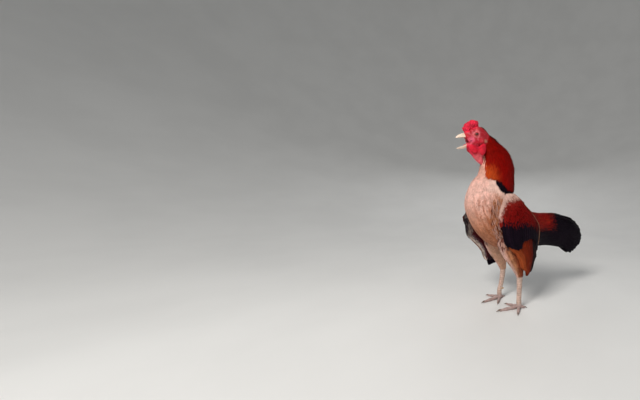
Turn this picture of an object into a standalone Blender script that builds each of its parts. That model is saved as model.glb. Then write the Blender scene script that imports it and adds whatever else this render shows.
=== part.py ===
"""A Vietnamese bantam cock that stands and crows, as a still model at life size.

The bird faces -X, its left side is at -Y and it stands on the plane Z = 0. Its sizes are written in
millimetres as (forward, left, up), counted from the middle of its stance on the floor. The whole
bird is moved over the origin at the end.
"""

import math

import bmesh
import bpy
import numpy as np
from mathutils import Matrix, Vector

MM = 0.001
GAP = 0.3 * MM
SEED = 7

# Driving dimensions, in millimetres
HOCK_HEIGHT = 74.0
FOOT_BALL_RADIUS = 6.6
SOLE_SINK = 0.5
EYE = (91.0, 11.6, 393.0)
EYE_RADIUS = 4.7
VANE_THICKNESS = 0.55
VANE_SINK = 1.8

# The outline of tail, torso and neck in one table, from the tips of the tail up to the head. Each
# row is a cross-section: (forward, up) on the back, (forward, up) on the belly, and half the width
BODY = (
    (-234, 150, -234, 120, 4),
    (-226, 168, -222, 104, 8),
    (-206, 190, -204, 98, 12),
    (-172, 202, -172, 116, 16),
    (-140, 211, -140, 125, 20),
    (-108, 213, -108, 131, 23),
    (-84, 214, -84, 132, 29),
    (-58, 220, -58, 134, 38),
    (-33, 236, -14, 135, 46),
    (-13, 251, 37, 140, 51),
    (0, 258, 79, 171, 54),
    (2, 264, 106, 220, 55),
    (-2, 274, 109, 254, 51),
    (-6, 290, 96, 288, 41),
    (-7, 307, 80, 307, 33),
    (-7, 326, 75, 326, 29),
    (6, 358, 71, 337, 24),
    (34, 381, 72, 355, 20),
    (52, 396, 82, 372, 17),
)
TAIL_CUT = 6.0
NECK_CUT = 12.5
TAIL_CORE_START = 3.0

THIGH = (
    (24, 30, 173, 22, 17),
    (20, 34, 149, 28, 20),
    (11, 37, 121, 24, 18),
    (2, 38, 97, 15, 12.5),
    (-4, 38, 78, 9.0, 8.2),
    (-4.5, 38, HOCK_HEIGHT, 8.0, 7.2),
)
# The foot is where the shank ends: (forward, out) of its ball, for the left and for the right foot
FEET = ((-3.0, 38.0), (5.0, 38.0))
# Rows of (forward, up, half chord, half thickness) down a folded wing, from the shoulder to the tips
WING = (
    (37, 266, 17, 3.5),
    (31, 252, 27, 6.0),
    (26, 238, 33, 7.0),
    (15, 217, 42, 7.0),
    (3, 188, 50, 6.5),
    (1, 160, 46, 6.0),
    (-5, 144, 36, 5.5),
    (-12.5, 125, 25, 5.0),
    (-12.5, 105, 17, 4.0),
    (-12, 90, 10.5, 3.0),
    (-11, 79, 4, 2.0),
)
WING_CORE = 0.86
WING_CORE_END = 8.3
# The left wing hangs close. The right one is dropped forward, with its front edge held out: it turns
# about an upright line at (forward, out)
WING_HINGE = (-40.0, 45.0)
WING_YAW = (0.0, 13.0)
WING_FORWARD = (0.0, 33.0)
WING_SWING_DEPTH = 62.0
# Feather tiers of a wing, from the lowest to the one on top: how many vanes, where down the wing
# their roots and the lowest tip lie, how much higher the outer tips end, half width, lift of the tips
WING_TIERS = (
    (4, 6.8, 9.9, 0.5, 4.5, -0.9),
    (8, 4.3, 9.7, 2.6, 6.8, 2.2),
    (7, 3.2, 6.0, 0.5, 7.6, 2.8),
    (6, 2.3, 4.0, 0.4, 7.4, 2.8),
    (5, 1.4, 2.9, 0.3, 7.0, 2.6),
    (3, 0.6, 1.9, 0.2, 7.0, 2.4),
)
# Feather tiers of neck and back: how many vanes, the widest angle from the back line, where their
# roots and tips lie on BODY, how far the outer tips end sooner, half width, lift and droop of the tips
HACKLE_TIERS = (
    (12, 110.0, 15.3, 12.5, 0.9, 7.6, 2.4, 15.0),
    (10, 104.0, 16.4, 13.9, 0.5, 6.6, 2.4, 0.0),
    (8, 92.0, 17.4, 15.3, 0.2, 5.6, 2.0, 0.0),
)
SADDLE_TIERS = (
    (10, 100.0, 7.2, 5.1, 0.0, 5.6, 2.2, 0.0),
    (4, 38.0, 8.2, 6.4, 0.0, 5.4, 2.4, 0.0),
)
TAIL_COVERT_TIERS = ((8, 95.0, 5.5, 3.7, 0.0, 6.0, 1.8, 0.0),)
TAIL_FEATHERS = 7
TAIL_FAN_CENTRE = (-170.0, 147.0)
TAIL_FAN_REACH = (64.0, 47.0)
TAIL_FAN_TOP = 66.0
TAIL_FAN_SWEEP = 132.0
TAIL_CORE_DEPTH = 3.4

# Toe name, its direction outward from straight ahead on the left and on the right foot, its length,
# the claw's length, its root radius and how many scutes it carries
TOES = (
    ("middle", (-9.0, -8.0), 46.0, 10.0, 4.1, 6),
    ("inner", (-66.0, -54.0), 33.0, 9.0, 3.7, 4),
    ("outer", (53.0, 58.0), 32.0, 9.0, 3.7, 4),
    ("hind", (160.0, 168.0), 13.0, 7.0, 3.4, 2),
)
SHANK_SCUTES = 8
SCUTE_STEP = 0.09
# The comb is a tilted cushion: its middle, its radii, how far its front is tilted down, its lobes
COMB = (99.5, 0.0, 411.0)
COMB_RADII = (20.0, 7.5, 11.0)
COMB_TILT = 30.0
COMB_LOBES = 15
COMB_LOBE_RADIUS = (3.4, 4.6)


def bird(point):
    """A point given as (forward, left, up) in millimetres, in the scene's metres."""
    return Vector((-point[0], -point[1], point[2])) * MM


def clear_scene():
    for obj in list(bpy.data.objects):
        bpy.data.objects.remove(obj)


def material(name, colour, roughness):
    made = bpy.data.materials.new(name)
    made.use_nodes = True
    shader = made.node_tree.nodes["Principled BSDF"]
    shader.inputs["Base Color"].default_value = (*colour, 1.0)
    shader.inputs["Roughness"].default_value = roughness
    return made


def add_object(name, mesh):
    made = bpy.data.objects.new(name, mesh)
    COCK.objects.link(made)
    return made


def from_bmesh(name, shape):
    bmesh.ops.recalc_face_normals(shape, faces=shape.faces)
    mesh = bpy.data.meshes.new(name)
    shape.to_mesh(mesh)
    shape.free()
    return add_object(name, mesh)


def row_at(table, t):
    """The row at place t of a table, read from a smooth curve through its rows."""
    i = min(max(int(t), 0), len(table) - 2)
    f = t - i
    last = len(table) - 1
    a, b, c, d = (np.array(table[min(max(k, 0), last)], float) for k in range(i - 1, i + 3))
    curve = 2 * b + (c - a) * f + (2 * a - 5 * b + 4 * c - d) * f**2 + (3 * b - a - 3 * c + d) * f**3
    return curve / 2


def unit(vector):
    return np.array(vector, float) / np.linalg.norm(vector)


def loft(name, rings):
    """A closed body through rings of points, each given as (forward, left, up)."""
    shape = bmesh.new()
    loops = [[shape.verts.new(bird(p)) for p in ring] for ring in rings]
    for low, high in zip(loops, loops[1:]):
        for k in range(len(low)):
            n = (k + 1) % len(low)
            shape.faces.new((low[k], low[n], high[n], high[k]))
    shape.faces.new(loops[0][::-1])
    shape.faces.new(loops[-1])
    return from_bmesh(name, shape)


def tube(name, rows, stations, points, up=(0.0, 0.0, 1.0), swell=None):
    """A loft through rows of (forward, left, up, half depth along up, half width), square to their line."""
    rings = []
    for number, t in enumerate(np.linspace(0, len(rows) - 1, stations)):
        row = row_at(rows, t)
        tangent = unit(row_at(rows, t + 0.01)[:3] - row_at(rows, t - 0.01)[:3])
        side_axis = unit(np.cross(up, tangent))
        up_axis = np.cross(tangent, side_axis)
        ring = []
        for k in range(points):
            angle = math.tau * (k + 0.5) / points
            grow = swell(number, angle) if swell else 1.0
            across = side_axis * row[4] * math.sin(angle) + up_axis * row[3] * math.cos(angle)
            ring.append(row[:3] + across * grow)
        rings.append(ring)
    return loft(name, rings)


def mirrored(rows, side):
    """The rows of one side, or of the other where side is -1."""
    return [(row[0], side * row[1], *row[2:]) for row in rows]


def ellipsoid(name, centre, radii, pitch=0.0, yaw=0.0, segments=14, rings=9):
    """An ellipsoid with radii along forward, left and up. Pitch raises its front, yaw turns it left."""
    shape = bmesh.new()
    turn = Matrix.Rotation(math.radians(yaw), 4, "Z") @ Matrix.Rotation(math.radians(pitch), 4, "Y")
    size = Matrix.Diagonal((*(r * MM for r in radii), 1.0))
    where = Matrix.Translation(bird(centre)) @ turn @ size
    bmesh.ops.create_uvsphere(shape, u_segments=segments, v_segments=rings, radius=1.0, matrix=where)
    return from_bmesh(name, shape)


def evaluated(obj):
    """Replaces an object's mesh by the one that its modifiers make."""
    bpy.context.view_layer.update()
    graph = bpy.context.evaluated_depsgraph_get()
    mesh = bpy.data.meshes.new_from_object(obj.evaluated_get(graph))
    obj.modifiers.clear()
    obj.data = mesh
    return obj


def box_size(verts):
    points = np.array([vert.co for vert in verts])
    return float(np.linalg.norm(points.max(0) - points.min(0)))


def keep_largest(obj):
    """Drops loose scraps and the inner walls of sealed hollows: only the largest surface stays."""
    shape = bmesh.new()
    shape.from_mesh(obj.data)
    left, islands = set(shape.verts), []
    while left:
        island, front = set(), [left.pop()]
        while front:
            vert = front.pop()
            island.add(vert)
            near = {edge.other_vert(vert) for edge in vert.link_edges} & left
            left -= near
            front.extend(near)
        islands.append(island)
    biggest = max(islands, key=box_size)
    for island in islands:
        if island is not biggest:
            bmesh.ops.delete(shape, geom=list(island), context="VERTS")
    shape.to_mesh(obj.data)
    shape.free()
    return obj


def boolean(obj, operation, **operand):
    modifier = obj.modifiers.new(operation.lower(), "BOOLEAN")
    modifier.operation = operation
    modifier.solver = "MANIFOLD"
    for key, value in operand.items():
        setattr(modifier, key, value)
    return evaluated(obj)


def union(name, pieces):
    """Joins closed pieces that overlap into one closed body."""
    first, rest = pieces[0], pieces[1:]
    first.name = name
    group = bpy.data.collections.new(name + "_pieces")
    bpy.context.scene.collection.children.link(group)
    for piece in rest:
        COCK.objects.unlink(piece)
        group.objects.link(piece)
    boolean(first, "UNION", operand_type="COLLECTION", collection=group)
    for piece in rest:
        bpy.data.objects.remove(piece)
    bpy.data.collections.remove(group)
    return keep_largest(first)


def grown_copy(obj, by):
    """A copy of a closed object whose faces all stand out by the same distance."""
    shape = bmesh.new()
    shape.from_mesh(obj.data)
    shape.normal_update()
    moves = [vert.normal * min(vert.calc_shell_factor(), 2.0) * by for vert in shape.verts]
    for vert, move in zip(shape.verts, moves):
        vert.co += move
    mesh = bpy.data.meshes.new(obj.name + "_grown")
    shape.to_mesh(mesh)
    shape.free()
    return add_object(obj.name + "_grown", mesh)


def clear_of(obj, *neighbours):
    """Cuts an object back so that a gap is left to each neighbour."""
    for neighbour in neighbours:
        cutter = grown_copy(neighbour, GAP)
        boolean(obj, "DIFFERENCE", object=cutter)
        bpy.data.objects.remove(cutter)
    return keep_largest(obj)


def blend(name, pieces, voxel, passes, faces):
    """Melts overlapping pieces into one soft form with about the given number of triangles."""
    shape = bmesh.new()
    for piece in pieces:
        shape.from_mesh(piece.data)
        bpy.data.objects.remove(piece)
    obj = from_bmesh(name, shape)
    remesh = obj.modifiers.new("remesh", "REMESH")
    remesh.mode = "VOXEL"
    remesh.voxel_size = voxel * MM
    smooth = obj.modifiers.new("smooth", "SMOOTH")
    smooth.factor = 0.5
    smooth.iterations = passes
    evaluated(obj)
    fewer = obj.modifiers.new("fewer", "DECIMATE")
    fewer.ratio = faces / (2 * len(obj.data.polygons))
    fewer.use_collapse_triangulate = True
    return keep_largest(evaluated(obj))


def finish(obj, look):
    obj.data.materials.clear()
    obj.data.materials.append(look)
    obj.data.shade_smooth()
    obj.data.set_sharp_from_angle(angle=math.radians(40))
    return obj


def sides():
    return (("left", 1), ("right", -1))


def of_side(pair, side):
    return pair[0 if side == 1 else 1]


def vane(name, points, normals, half_widths, roll):
    """One feather: a thin tapered plate along points, turned by roll about its own line.

    Each four-sided stretch is split along the same diagonal on both faces, so that they never cross.
    """
    shape = bmesh.new()
    turn = math.radians(roll)
    rings = []
    for i, (point, normal, half) in enumerate(zip(points, normals, half_widths)):
        along = unit(points[min(i + 1, len(points) - 1)] - points[max(i - 1, 0)])
        across = unit(np.cross(normal, along))
        up = np.cross(along, across)
        edge = (across * math.cos(turn) + up * math.sin(turn)) * half
        top = up * math.cos(turn) - across * math.sin(turn)
        top *= VANE_THICKNESS * (0.6 if i == len(points) - 1 else 1.0)
        corners = (point - edge, point + edge, point + edge + top, point - edge + top)
        rings.append([shape.verts.new(bird(corner)) for corner in corners])
    for low, high in zip(rings, rings[1:]):
        for k in range(4):
            n = (k + 1) % 4
            a, b, c, d = low[k], low[n], high[n], high[k]
            flip = k >= 2
            for face in ((a, b, d), (b, c, d)) if flip else ((a, b, c), (a, c, d)):
                shape.faces.new(face)
    shape.faces.new(rings[0][::-1])
    shape.faces.new(rings[-1])
    bmesh.ops.triangulate(shape, faces=[face for face in shape.faces if len(face.verts) == 4])
    return from_bmesh(name, shape)


def feather_widths(half):
    """Half widths of a vane from its root to its rounded tip."""
    return (half * 0.75, half, half * 0.92, half * 0.3)


def body_point(t, angle, out=0.0):
    """A point of tail, torso or neck: angle 0 is on the back line, 90 degrees is on the left."""
    back_u, back_w, belly_u, belly_w, width = row_at(BODY, t)
    back, belly = np.array((back_u, 0.0, back_w)), np.array((belly_u, 0.0, belly_w))
    depth_axis = unit(back - belly)
    depth = np.linalg.norm(back - belly) / 2
    c, s = math.cos(math.radians(angle)), math.sin(math.radians(angle))
    return (back + belly) / 2 + depth_axis * c * (depth + out) + np.array((0.0, s * (width + out), 0.0))


def body_normal(t, angle):
    round_it = body_point(t, angle + 2) - body_point(t, angle - 2)
    along_it = body_point(t + 0.05, angle) - body_point(t - 0.05, angle)
    return unit(np.cross(along_it, round_it)) * -1


def body_part(name, start, end, stations, points, inset):
    """The stretch of the body between two places. inset gives how deep it lies under its feathers."""
    rings = []
    for t in np.linspace(start, end, stations):
        angles = [360.0 * k / points for k in range(points)]
        rings.append([body_point(t, angle, -inset(t, angle)) for angle in angles])
    return loft(name, rings)


def body_tiers(tiers, draw):
    """Tiers of vanes on the body, each lying over the roots of the tier before it."""
    vanes = []
    for number, (count, widest, root, tip, shorter, half, lift, droop) in enumerate(tiers):
        for i in range(count):
            side = 2.0 * i / (count - 1) - 1.0
            angle = widest * side + draw.uniform(-1.5, 1.5)
            end = tip + shorter * side**2 + draw.uniform(-0.06, 0.06)
            hang = droop * max(math.cos(math.radians(angle)), 0.0) ** 2
            points, normals = [], []
            for f in (0.0, 0.35, 0.7, 1.0):
                t = root + (end - root) * f
                point = body_point(t, angle, -VANE_SINK * 1.6 * (1 - f) + lift * f + 0.2)
                points.append(point - np.array((0.0, 0.0, hang * f**3)))
                normals.append(body_normal(t, angle))
            vanes.append(vane(f"vane_{number}_{i}", points, normals, feather_widths(half), 6.0))
    return vanes


def feather_inset(t, angle):
    """How deep the core of the body lies below its outline: deeper where long vanes cover it."""
    over_back = max(math.cos(math.radians(angle)) + 0.35, 0.0) / 1.35
    saddle = max(0.0, min(1.0, (8.4 - t) / 1.5))
    hackle = max(0.0, min(1.0, (t - NECK_CUT) / 1.0))
    return 2.6 * max(saddle, hackle) * min(1.0, 1.6 * over_back)


def make_torso(draw):
    core = body_part("torso", TAIL_CUT, NECK_CUT, 17, 18, feather_inset)
    return union("torso", [core] + body_tiers(SADDLE_TIERS, draw))


def make_neck(draw, torso):
    start = NECK_CUT + 0.02
    core = body_part("neck", start, len(BODY) - 1, 10, 16, feather_inset)
    return clear_of(union("neck", [core] + body_tiers(HACKLE_TIERS, draw)), torso)


def tail_feather(number, side):
    """A main tail feather: from the tail's root to its own place on the rim of the fan."""
    step = number / (TAIL_FEATHERS - 1)
    rim = math.radians(TAIL_FAN_TOP - TAIL_FAN_SWEEP * step)
    tip = np.array((
        TAIL_FAN_CENTRE[0] - TAIL_FAN_REACH[0] * math.cos(rim),
        side * (2.6 + 4.0 * step),
        TAIL_FAN_CENTRE[1] + TAIL_FAN_REACH[1] * math.sin(rim),
    ))
    root = np.array((-112.0, side * (3.4 + 8.0 * step), 186.0 - 30.0 * step))
    points = []
    for f in (0.0, 0.35, 0.7, 0.92, 1.0):
        point = root + (tip - root) * f
        point[1] += side * 4.0 * math.sin(math.pi * f)
        point[2] += (9.0 - 4.0 * step) * math.sin(math.pi * f)
        points.append(point)
    normals = [np.array((0.0, side, 0.12))] * len(points)
    half = 11.5 - 2.0 * abs(step - 0.4)
    widths = (half * 0.5, half * 0.8, half, half * 0.9, half * 0.4)
    return vane(f"tail_{number}_{side}", points, normals, widths, 0.0)


def make_tail(draw, torso):
    core = body_part("tail", TAIL_CORE_START, TAIL_CUT - 0.02, 8, 14, lambda t, angle: TAIL_CORE_DEPTH)
    vanes = [tail_feather(number, side) for number in range(TAIL_FEATHERS) for _, side in sides()]
    return clear_of(union("tail", [core] + vanes + body_tiers(TAIL_COVERT_TIERS, draw)), torso)


def shield(forward, up):
    """How far out a folded wing lies, over the flank above and the thigh below."""
    across = (forward - 8.0) / 60.0
    above = max(up - 192.0, 0.0) / 75.0
    below = max(192.0 - up, 0.0) / 115.0
    return 62.0 - 10.5 * across**2 - 13.0 * above**2 - 3.0 * below**2


def wing_point(side, t, chord_place, lift=0.0, inner=False):
    """A point on a wing's outer face, t rows down it and at -1 (rear) to 1 (front) of its chord."""
    forward, up, chord, thickness = row_at(WING, t)
    forward += chord * chord_place
    swell = thickness * math.sqrt(max(1.0 - chord_place**2, 0.0))
    out = shield(forward, up) + (-swell if inner else swell) + lift
    yaw = math.radians(of_side(WING_YAW, side))
    across = np.array((forward, out)) - WING_HINGE
    turned = (
        across[0] * math.cos(yaw) - across[1] * math.sin(yaw),
        across[0] * math.sin(yaw) + across[1] * math.cos(yaw),
    )
    swing = min(1.0, max(WING[0][1] - up, 0.0) / WING_SWING_DEPTH)
    ahead = WING_HINGE[0] + turned[0] + of_side(WING_FORWARD, side) * swing
    return np.array((ahead, side * (WING_HINGE[1] + turned[1]), up))


def wing_normal(side, t, chord_place):
    across = wing_point(side, t, chord_place + 0.1) - wing_point(side, t, chord_place - 0.1)
    down = wing_point(side, t + 0.2, chord_place) - wing_point(side, t - 0.2, chord_place)
    return unit(np.cross(across, down)) * side


def wing_tiers(side, draw):
    vanes = []
    for number, (count, root, lowest, shorter, half, lift) in enumerate(WING_TIERS):
        for i in range(count):
            place = -0.82 + 1.62 * i / (count - 1)
            end = lowest - shorter * (place - 0.15) ** 2 + draw.uniform(-0.05, 0.05)
            points, normals = [], []
            for f in (0.0, 0.35, 0.72, 1.0):
                t = root + (end - root) * f
                points.append(wing_point(side, t, place * 0.97, -VANE_SINK * (1 - f) + lift * f))
                normals.append(wing_normal(side, t, place * 0.6))
            name = f"vane_{number}_{i}"
            vanes.append(vane(name, points, normals, feather_widths(half), -6.0 * side))
    return vanes


def make_wing(name, side, draw, neighbours):
    """A folded wing: a flat core that carries tiers of vanes, and the shoulder that meets the torso."""
    rings = []
    for t in np.linspace(0.25, WING_CORE_END, 11):
        places = [math.cos(math.tau * k / 12) for k in range(12)]
        inner = [math.sin(math.tau * k / 12) < 0 for k in range(12)]
        rings.append([wing_point(side, t, p * WING_CORE, 0.0, i) for p, i in zip(places, inner)])
    core = loft(name, rings)
    ahead = 34.0 + of_side(WING_FORWARD, side) * 0.2
    shoulder = ellipsoid("shoulder", (ahead, side * 46.0, 244), (15, 14, 17), segments=10, rings=7)
    return clear_of(union(name, [core, shoulder] + wing_tiers(side, draw)), *neighbours)


def make_head(neck, eyes):
    pieces = [
        ellipsoid("skull", (83, 0, 393), (24, 15.8, 19.5)),
        ellipsoid("snout", (102, 0, 388.5), (13, 9.5, 9.5)),
        ellipsoid("cere", (108, 0, 394), (8, 6.5, 7), pitch=-30),
        ellipsoid("jaw", (97, 0, 371.5), (16, 8.8, 7.5), pitch=-14),
        ellipsoid("throat", (82, 0, 360), (12, 10.5, 19), pitch=-35),
        ellipsoid("nape", (67, 0, 380), (19, 16, 21), pitch=-30),
    ]
    for _, side in sides():
        pieces.append(ellipsoid("brow", (94, side * 10, 399.5), (11, 4.5, 4.5), yaw=-side * 14))
        pieces.append(ellipsoid("cheek", (91, side * 8, 379), (13, 6.4, 9.5)))
    head = blend("head", pieces, 1.1, 6, 520)
    lids = [eyelid(side, part) for _, side in sides() for part in (1, -1)]
    return clear_of(union("head", [head] + lids), neck, *eyes)


def eyelid(side, part):
    """A swollen rim over the eye (part 1) or under it (part -1)."""
    where = np.array(EYE) + np.array((0.0, 1.2, 0.0))
    reach = EYE_RADIUS * (1.12 if part == 1 else 1.02)
    rows = []
    for f in np.linspace(0.0, 1.0, 7):
        arch = math.sin(math.pi * f)
        point = where + np.array((reach * math.cos(math.pi * f), 0.9 * arch, part * 0.78 * reach * arch))
        thick = 0.7 + 0.75 * arch
        rows.append((point[0], side * point[1], point[2], thick, thick))
    return tube("lid", rows, 7, 5, up=(0.0, 1.0, 0.0))


def make_comb(head, draw):
    """A low cushion comb, crowded with small round lobes."""
    centre, pitch = np.array(COMB), math.radians(COMB_TILT)
    pieces = [ellipsoid("comb", centre, COMB_RADII, pitch=-COMB_TILT, segments=12, rings=7)]
    golden = math.pi * (3 - math.sqrt(5))
    for i in range(COMB_LOBES):
        height = 1 - 1.55 * (i + 0.5) / COMB_LOBES
        ring = math.sqrt(1 - height**2)
        way = np.array((ring * math.cos(golden * i), ring * math.sin(golden * i), height))
        spot = way * COMB_RADII * 0.9
        ahead = spot[0] * math.cos(pitch) + spot[2] * math.sin(pitch)
        rise = spot[2] * math.cos(pitch) - spot[0] * math.sin(pitch)
        size = draw.uniform(*COMB_LOBE_RADIUS)
        where = centre + np.array((ahead, spot[1], rise))
        pieces.append(ellipsoid("lobe", where, (size,) * 3, segments=7, rings=5))
    return clear_of(union("comb", pieces), head)


def make_beak_half(name, base, tip, depth, width, droop):
    """One half of the bill: a tapered, slightly hooked form from its base to its tip."""
    base, tip = np.array(base), np.array(tip)
    rows = []
    for f in (0.0, 0.3, 0.6, 0.85, 1.0):
        centre = base + (tip - base) * f
        centre[2] += droop * math.sin(math.pi * f)
        taper = math.sqrt(max(1.0 - f**1.7, 0.01))
        rows.append((*centre, depth * taper, width * taper))
    return tube(name, rows, 8, 10)


def make_upper_beak(head):
    beak = make_beak_half("beak_upper", (106, 0, 390), (134, 0, 385.5), 6.0, 5.2, 1.5)
    for _, side in sides():
        where = (117.5, side * 4.4, 391.5)
        nostril = ellipsoid("nostril", where, (2.6, 1.2, 1.0), pitch=-6, segments=6, rings=4)
        boolean(beak, "DIFFERENCE", object=nostril)
        bpy.data.objects.remove(nostril)
    return clear_of(beak, head)


def make_eye(name, side):
    where = (EYE[0], side * EYE[1], EYE[2])
    return ellipsoid(name, where, (EYE_RADIUS,) * 3, segments=12, rings=8)


def scutes(count, stations):
    """A swell that steps out into a row of raised plates, each overlapping the next one below."""
    per_plate = stations / count

    def swell(number, angle):
        facing = math.cos(angle)
        if facing < -0.2:
            return 1.0
        place = (number % per_plate) / max(per_plate - 1, 1)
        return 1.0 + SCUTE_STEP * place * min(1.0, 0.5 + facing)

    return swell


def rest_on_floor(obj):
    """Flattens what would reach below the floor into a small flat."""
    for vert in obj.data.vertices:
        vert.co.z = max(vert.co.z, 0.0)
    return obj


def make_shank(name, side):
    ahead, out = of_side(FEET, side)
    rows = (
        (-4.5, 38, HOCK_HEIGHT - 0.3, 7.8, 7.0),
        (-4.5, 38, HOCK_HEIGHT - 10, 6.8, 6.0),
        (0.5 * (ahead - 4.5), 38, 0.5 * HOCK_HEIGHT, 5.9, 5.1),
        (ahead, out, 22, 5.8, 5.1),
        (ahead, out, 8, 6.2, 5.8),
    )
    stations = 2 * SHANK_SCUTES
    plates = scutes(SHANK_SCUTES, stations)
    shaft = tube(name, mirrored(rows, side), stations, 10, up=(1.0, 0.0, 0.0), swell=plates)
    middle = (ahead, side * out, FOOT_BALL_RADIUS - SOLE_SINK)
    ball = ellipsoid("ball", middle, (FOOT_BALL_RADIUS,) * 3, segments=10, rings=7)
    return rest_on_floor(union(name, [shaft, ball]))


def toe_line(side, direction, start, end, heights):
    """Points out along the floor from the ball of the foot, in a direction given in degrees."""
    turn = math.radians(direction)
    ahead = np.array((math.cos(turn), side * math.sin(turn), 0.0))
    ball_forward, ball_out = of_side(FEET, side)
    ball = np.array((ball_forward, side * ball_out, 0.0))
    reach = np.linspace(start, end, len(heights))
    return [ball + ahead * r + np.array((0.0, 0.0, h)) for r, h in zip(reach, heights)]


def make_toe(name, side, direction, length, radius, plates, neighbours):
    sizes = (1.05, 1.0, 0.92, 0.88, 0.66)
    lifts = (7.0, 4.0, 1.5, 0.0, 0.0) if abs(direction) > 90 else (2.5, 1.0, 0.0, 0.0, 0.0)
    heights = [radius * size + lift - SOLE_SINK for size, lift in zip(sizes, lifts)]
    line = toe_line(side, direction, 1.0, length, heights)
    rows = [(*p, radius * s, radius * s) for p, s in zip(line, sizes)]
    stations = 2 * plates + 2
    made = tube(name, rows, stations, 8, swell=scutes(plates + 1, stations))
    return clear_of(rest_on_floor(made), *neighbours)


def make_claw(name, side, direction, length, claw, radius, toe):
    """A curved claw that goes on from the tip of its toe, its point just above the floor."""
    root = radius * 0.66
    start = length + GAP / MM
    heights = (radius * 0.66, radius * 0.66, radius * 0.5, 0.9)
    line = toe_line(side, direction, start, start + claw, heights)
    rows = [(*p, root * s, root * 0.8 * s) for p, s in zip(line, (0.97, 0.8, 0.55, 0.14))]
    return clear_of(rest_on_floor(tube(name, rows, 5, 6)), toe)


def make_spur(name, side, shank):
    where = np.array((of_side(FEET, side)[0] - 4.0, side * 34.0, 26.0))
    ahead = np.array((-0.72, -side * 0.62, 0.1))
    rows = [(*(where + ahead * r), s, s) for r, s in ((-2.0, 2.6), (2.0, 2.3), (5.0, 1.4), (7.5, 0.4))]
    return clear_of(tube(name, rows, 4, 7), shank)


def make_leg(name, side, thigh, looks):
    shank = finish(make_shank("shank_" + name, side), looks["leg_scales"])
    clear_of(shank, thigh)
    finish(make_spur("spur_" + name, side, shank), looks["horn"])
    foot = [shank]
    for toe, directions, length, claw, radius, plates in TOES:
        direction = of_side(directions, side)
        made = make_toe(f"toe_{name}_{toe}", side, direction, length, radius, plates, foot)
        foot.append(finish(made, looks["leg_scales"]))
        nail = make_claw(f"claw_{name}_{toe}", side, direction, length, claw, radius, made)
        finish(nail, looks["horn"])


def make_face(neck, looks, draw):
    eyes = [finish(make_eye("eye_" + name, side), looks["eye"]) for name, side in sides()]
    head = finish(make_head(neck, eyes), looks["bare_skin"])
    finish(make_comb(head, draw), looks["bare_skin"])
    finish(make_upper_beak(head), looks["horn"])
    lower = make_beak_half("beak_lower", (104, 0, 371.5), (132.5, 0, 361.5), 4.0, 4.6, -1.5)
    finish(clear_of(lower, head), looks["horn"])
    tongue = make_beak_half("tongue", (106, 0, 376), (123, 0, 370), 1.6, 3.2, 0.0)
    finish(clear_of(tongue, head, lower), looks["bare_skin"])
    dewlap = ellipsoid("dewlap", (88, 0, 352), (29.5, 8, 9), pitch=49.5, segments=12, rings=7)
    finish(clear_of(dewlap, head, neck), looks["bare_skin"])
    for name, side in sides():
        where = (97.5, side * 8.6, 362.5)
        wattle = ellipsoid("wattle_" + name, where, (8.5, 3.0, 7.5), pitch=20, segments=12, rings=7)
        finish(clear_of(wattle, head, dewlap, lower), looks["bare_skin"])
        where = (76.5, side * 15.5, 360.5)
        lobe = ellipsoid("earlobe_" + name, where, (7.8, 4.4, 12.5), pitch=14, segments=12, rings=7)
        finish(clear_of(lobe, head, neck, dewlap), looks["bare_skin"])


def centre_on_floor(objects):
    """Moves the whole bird so that its bounding box is centred over the origin and stands on Z = 0."""
    points = np.array([vert.co for obj in objects for vert in obj.data.vertices])
    low, high = points.min(0), points.max(0)
    move = Matrix.Translation((-(low[0] + high[0]) / 2, -(low[1] + high[1]) / 2, -low[2]))
    for obj in objects:
        obj.data.transform(move)


def main():
    draw = np.random.default_rng(SEED)
    looks = {
        "plumage_buff": material("plumage_buff", (0.72, 0.44, 0.3), 0.85),
        "plumage_red": material("plumage_red", (0.28, 0.03, 0.015), 0.6),
        "plumage_black": material("plumage_black", (0.012, 0.012, 0.02), 0.45),
        "bare_skin": material("bare_skin", (0.62, 0.03, 0.05), 0.5),
        "horn": material("horn", (0.8, 0.74, 0.55), 0.4),
        "eye": material("eye", (0.2, 0.05, 0.02), 0.1),
        "leg_scales": material("leg_scales", (0.78, 0.6, 0.5), 0.6),
    }
    torso = finish(make_torso(draw), looks["plumage_buff"])
    neck = finish(make_neck(draw, torso), looks["plumage_red"])
    finish(make_tail(draw, torso), looks["plumage_black"])
    make_face(neck, looks, draw)
    for name, side in sides():
        thigh = tube("thigh_" + name, mirrored(THIGH, side), 10, 12, up=(1.0, 0.0, 0.0))
        finish(clear_of(thigh, torso), looks["plumage_buff"])
        wing = make_wing("wing_" + name, side, draw, (torso, thigh, neck))
        finish(wing, looks["plumage_red"])
        make_leg(name, side, thigh, looks)
    centre_on_floor(list(COCK.objects))


clear_scene()
COCK = bpy.data.collections.new("bantam_cock")
bpy.context.scene.collection.children.link(COCK)
main()
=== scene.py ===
"""The looks of a standing, crowing bantam cock at life size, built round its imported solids.

Places on the bird are written in millimetres as (forward, left, up), counted from the middle of its
stance on the floor, as in the part's own source. The bird's own origin is found from its left eye.
"""

import math

import bpy
import numpy as np
from bpy.props import FloatProperty, FloatVectorProperty, IntProperty, PointerProperty
from mathutils import Matrix, Vector, noise

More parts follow.
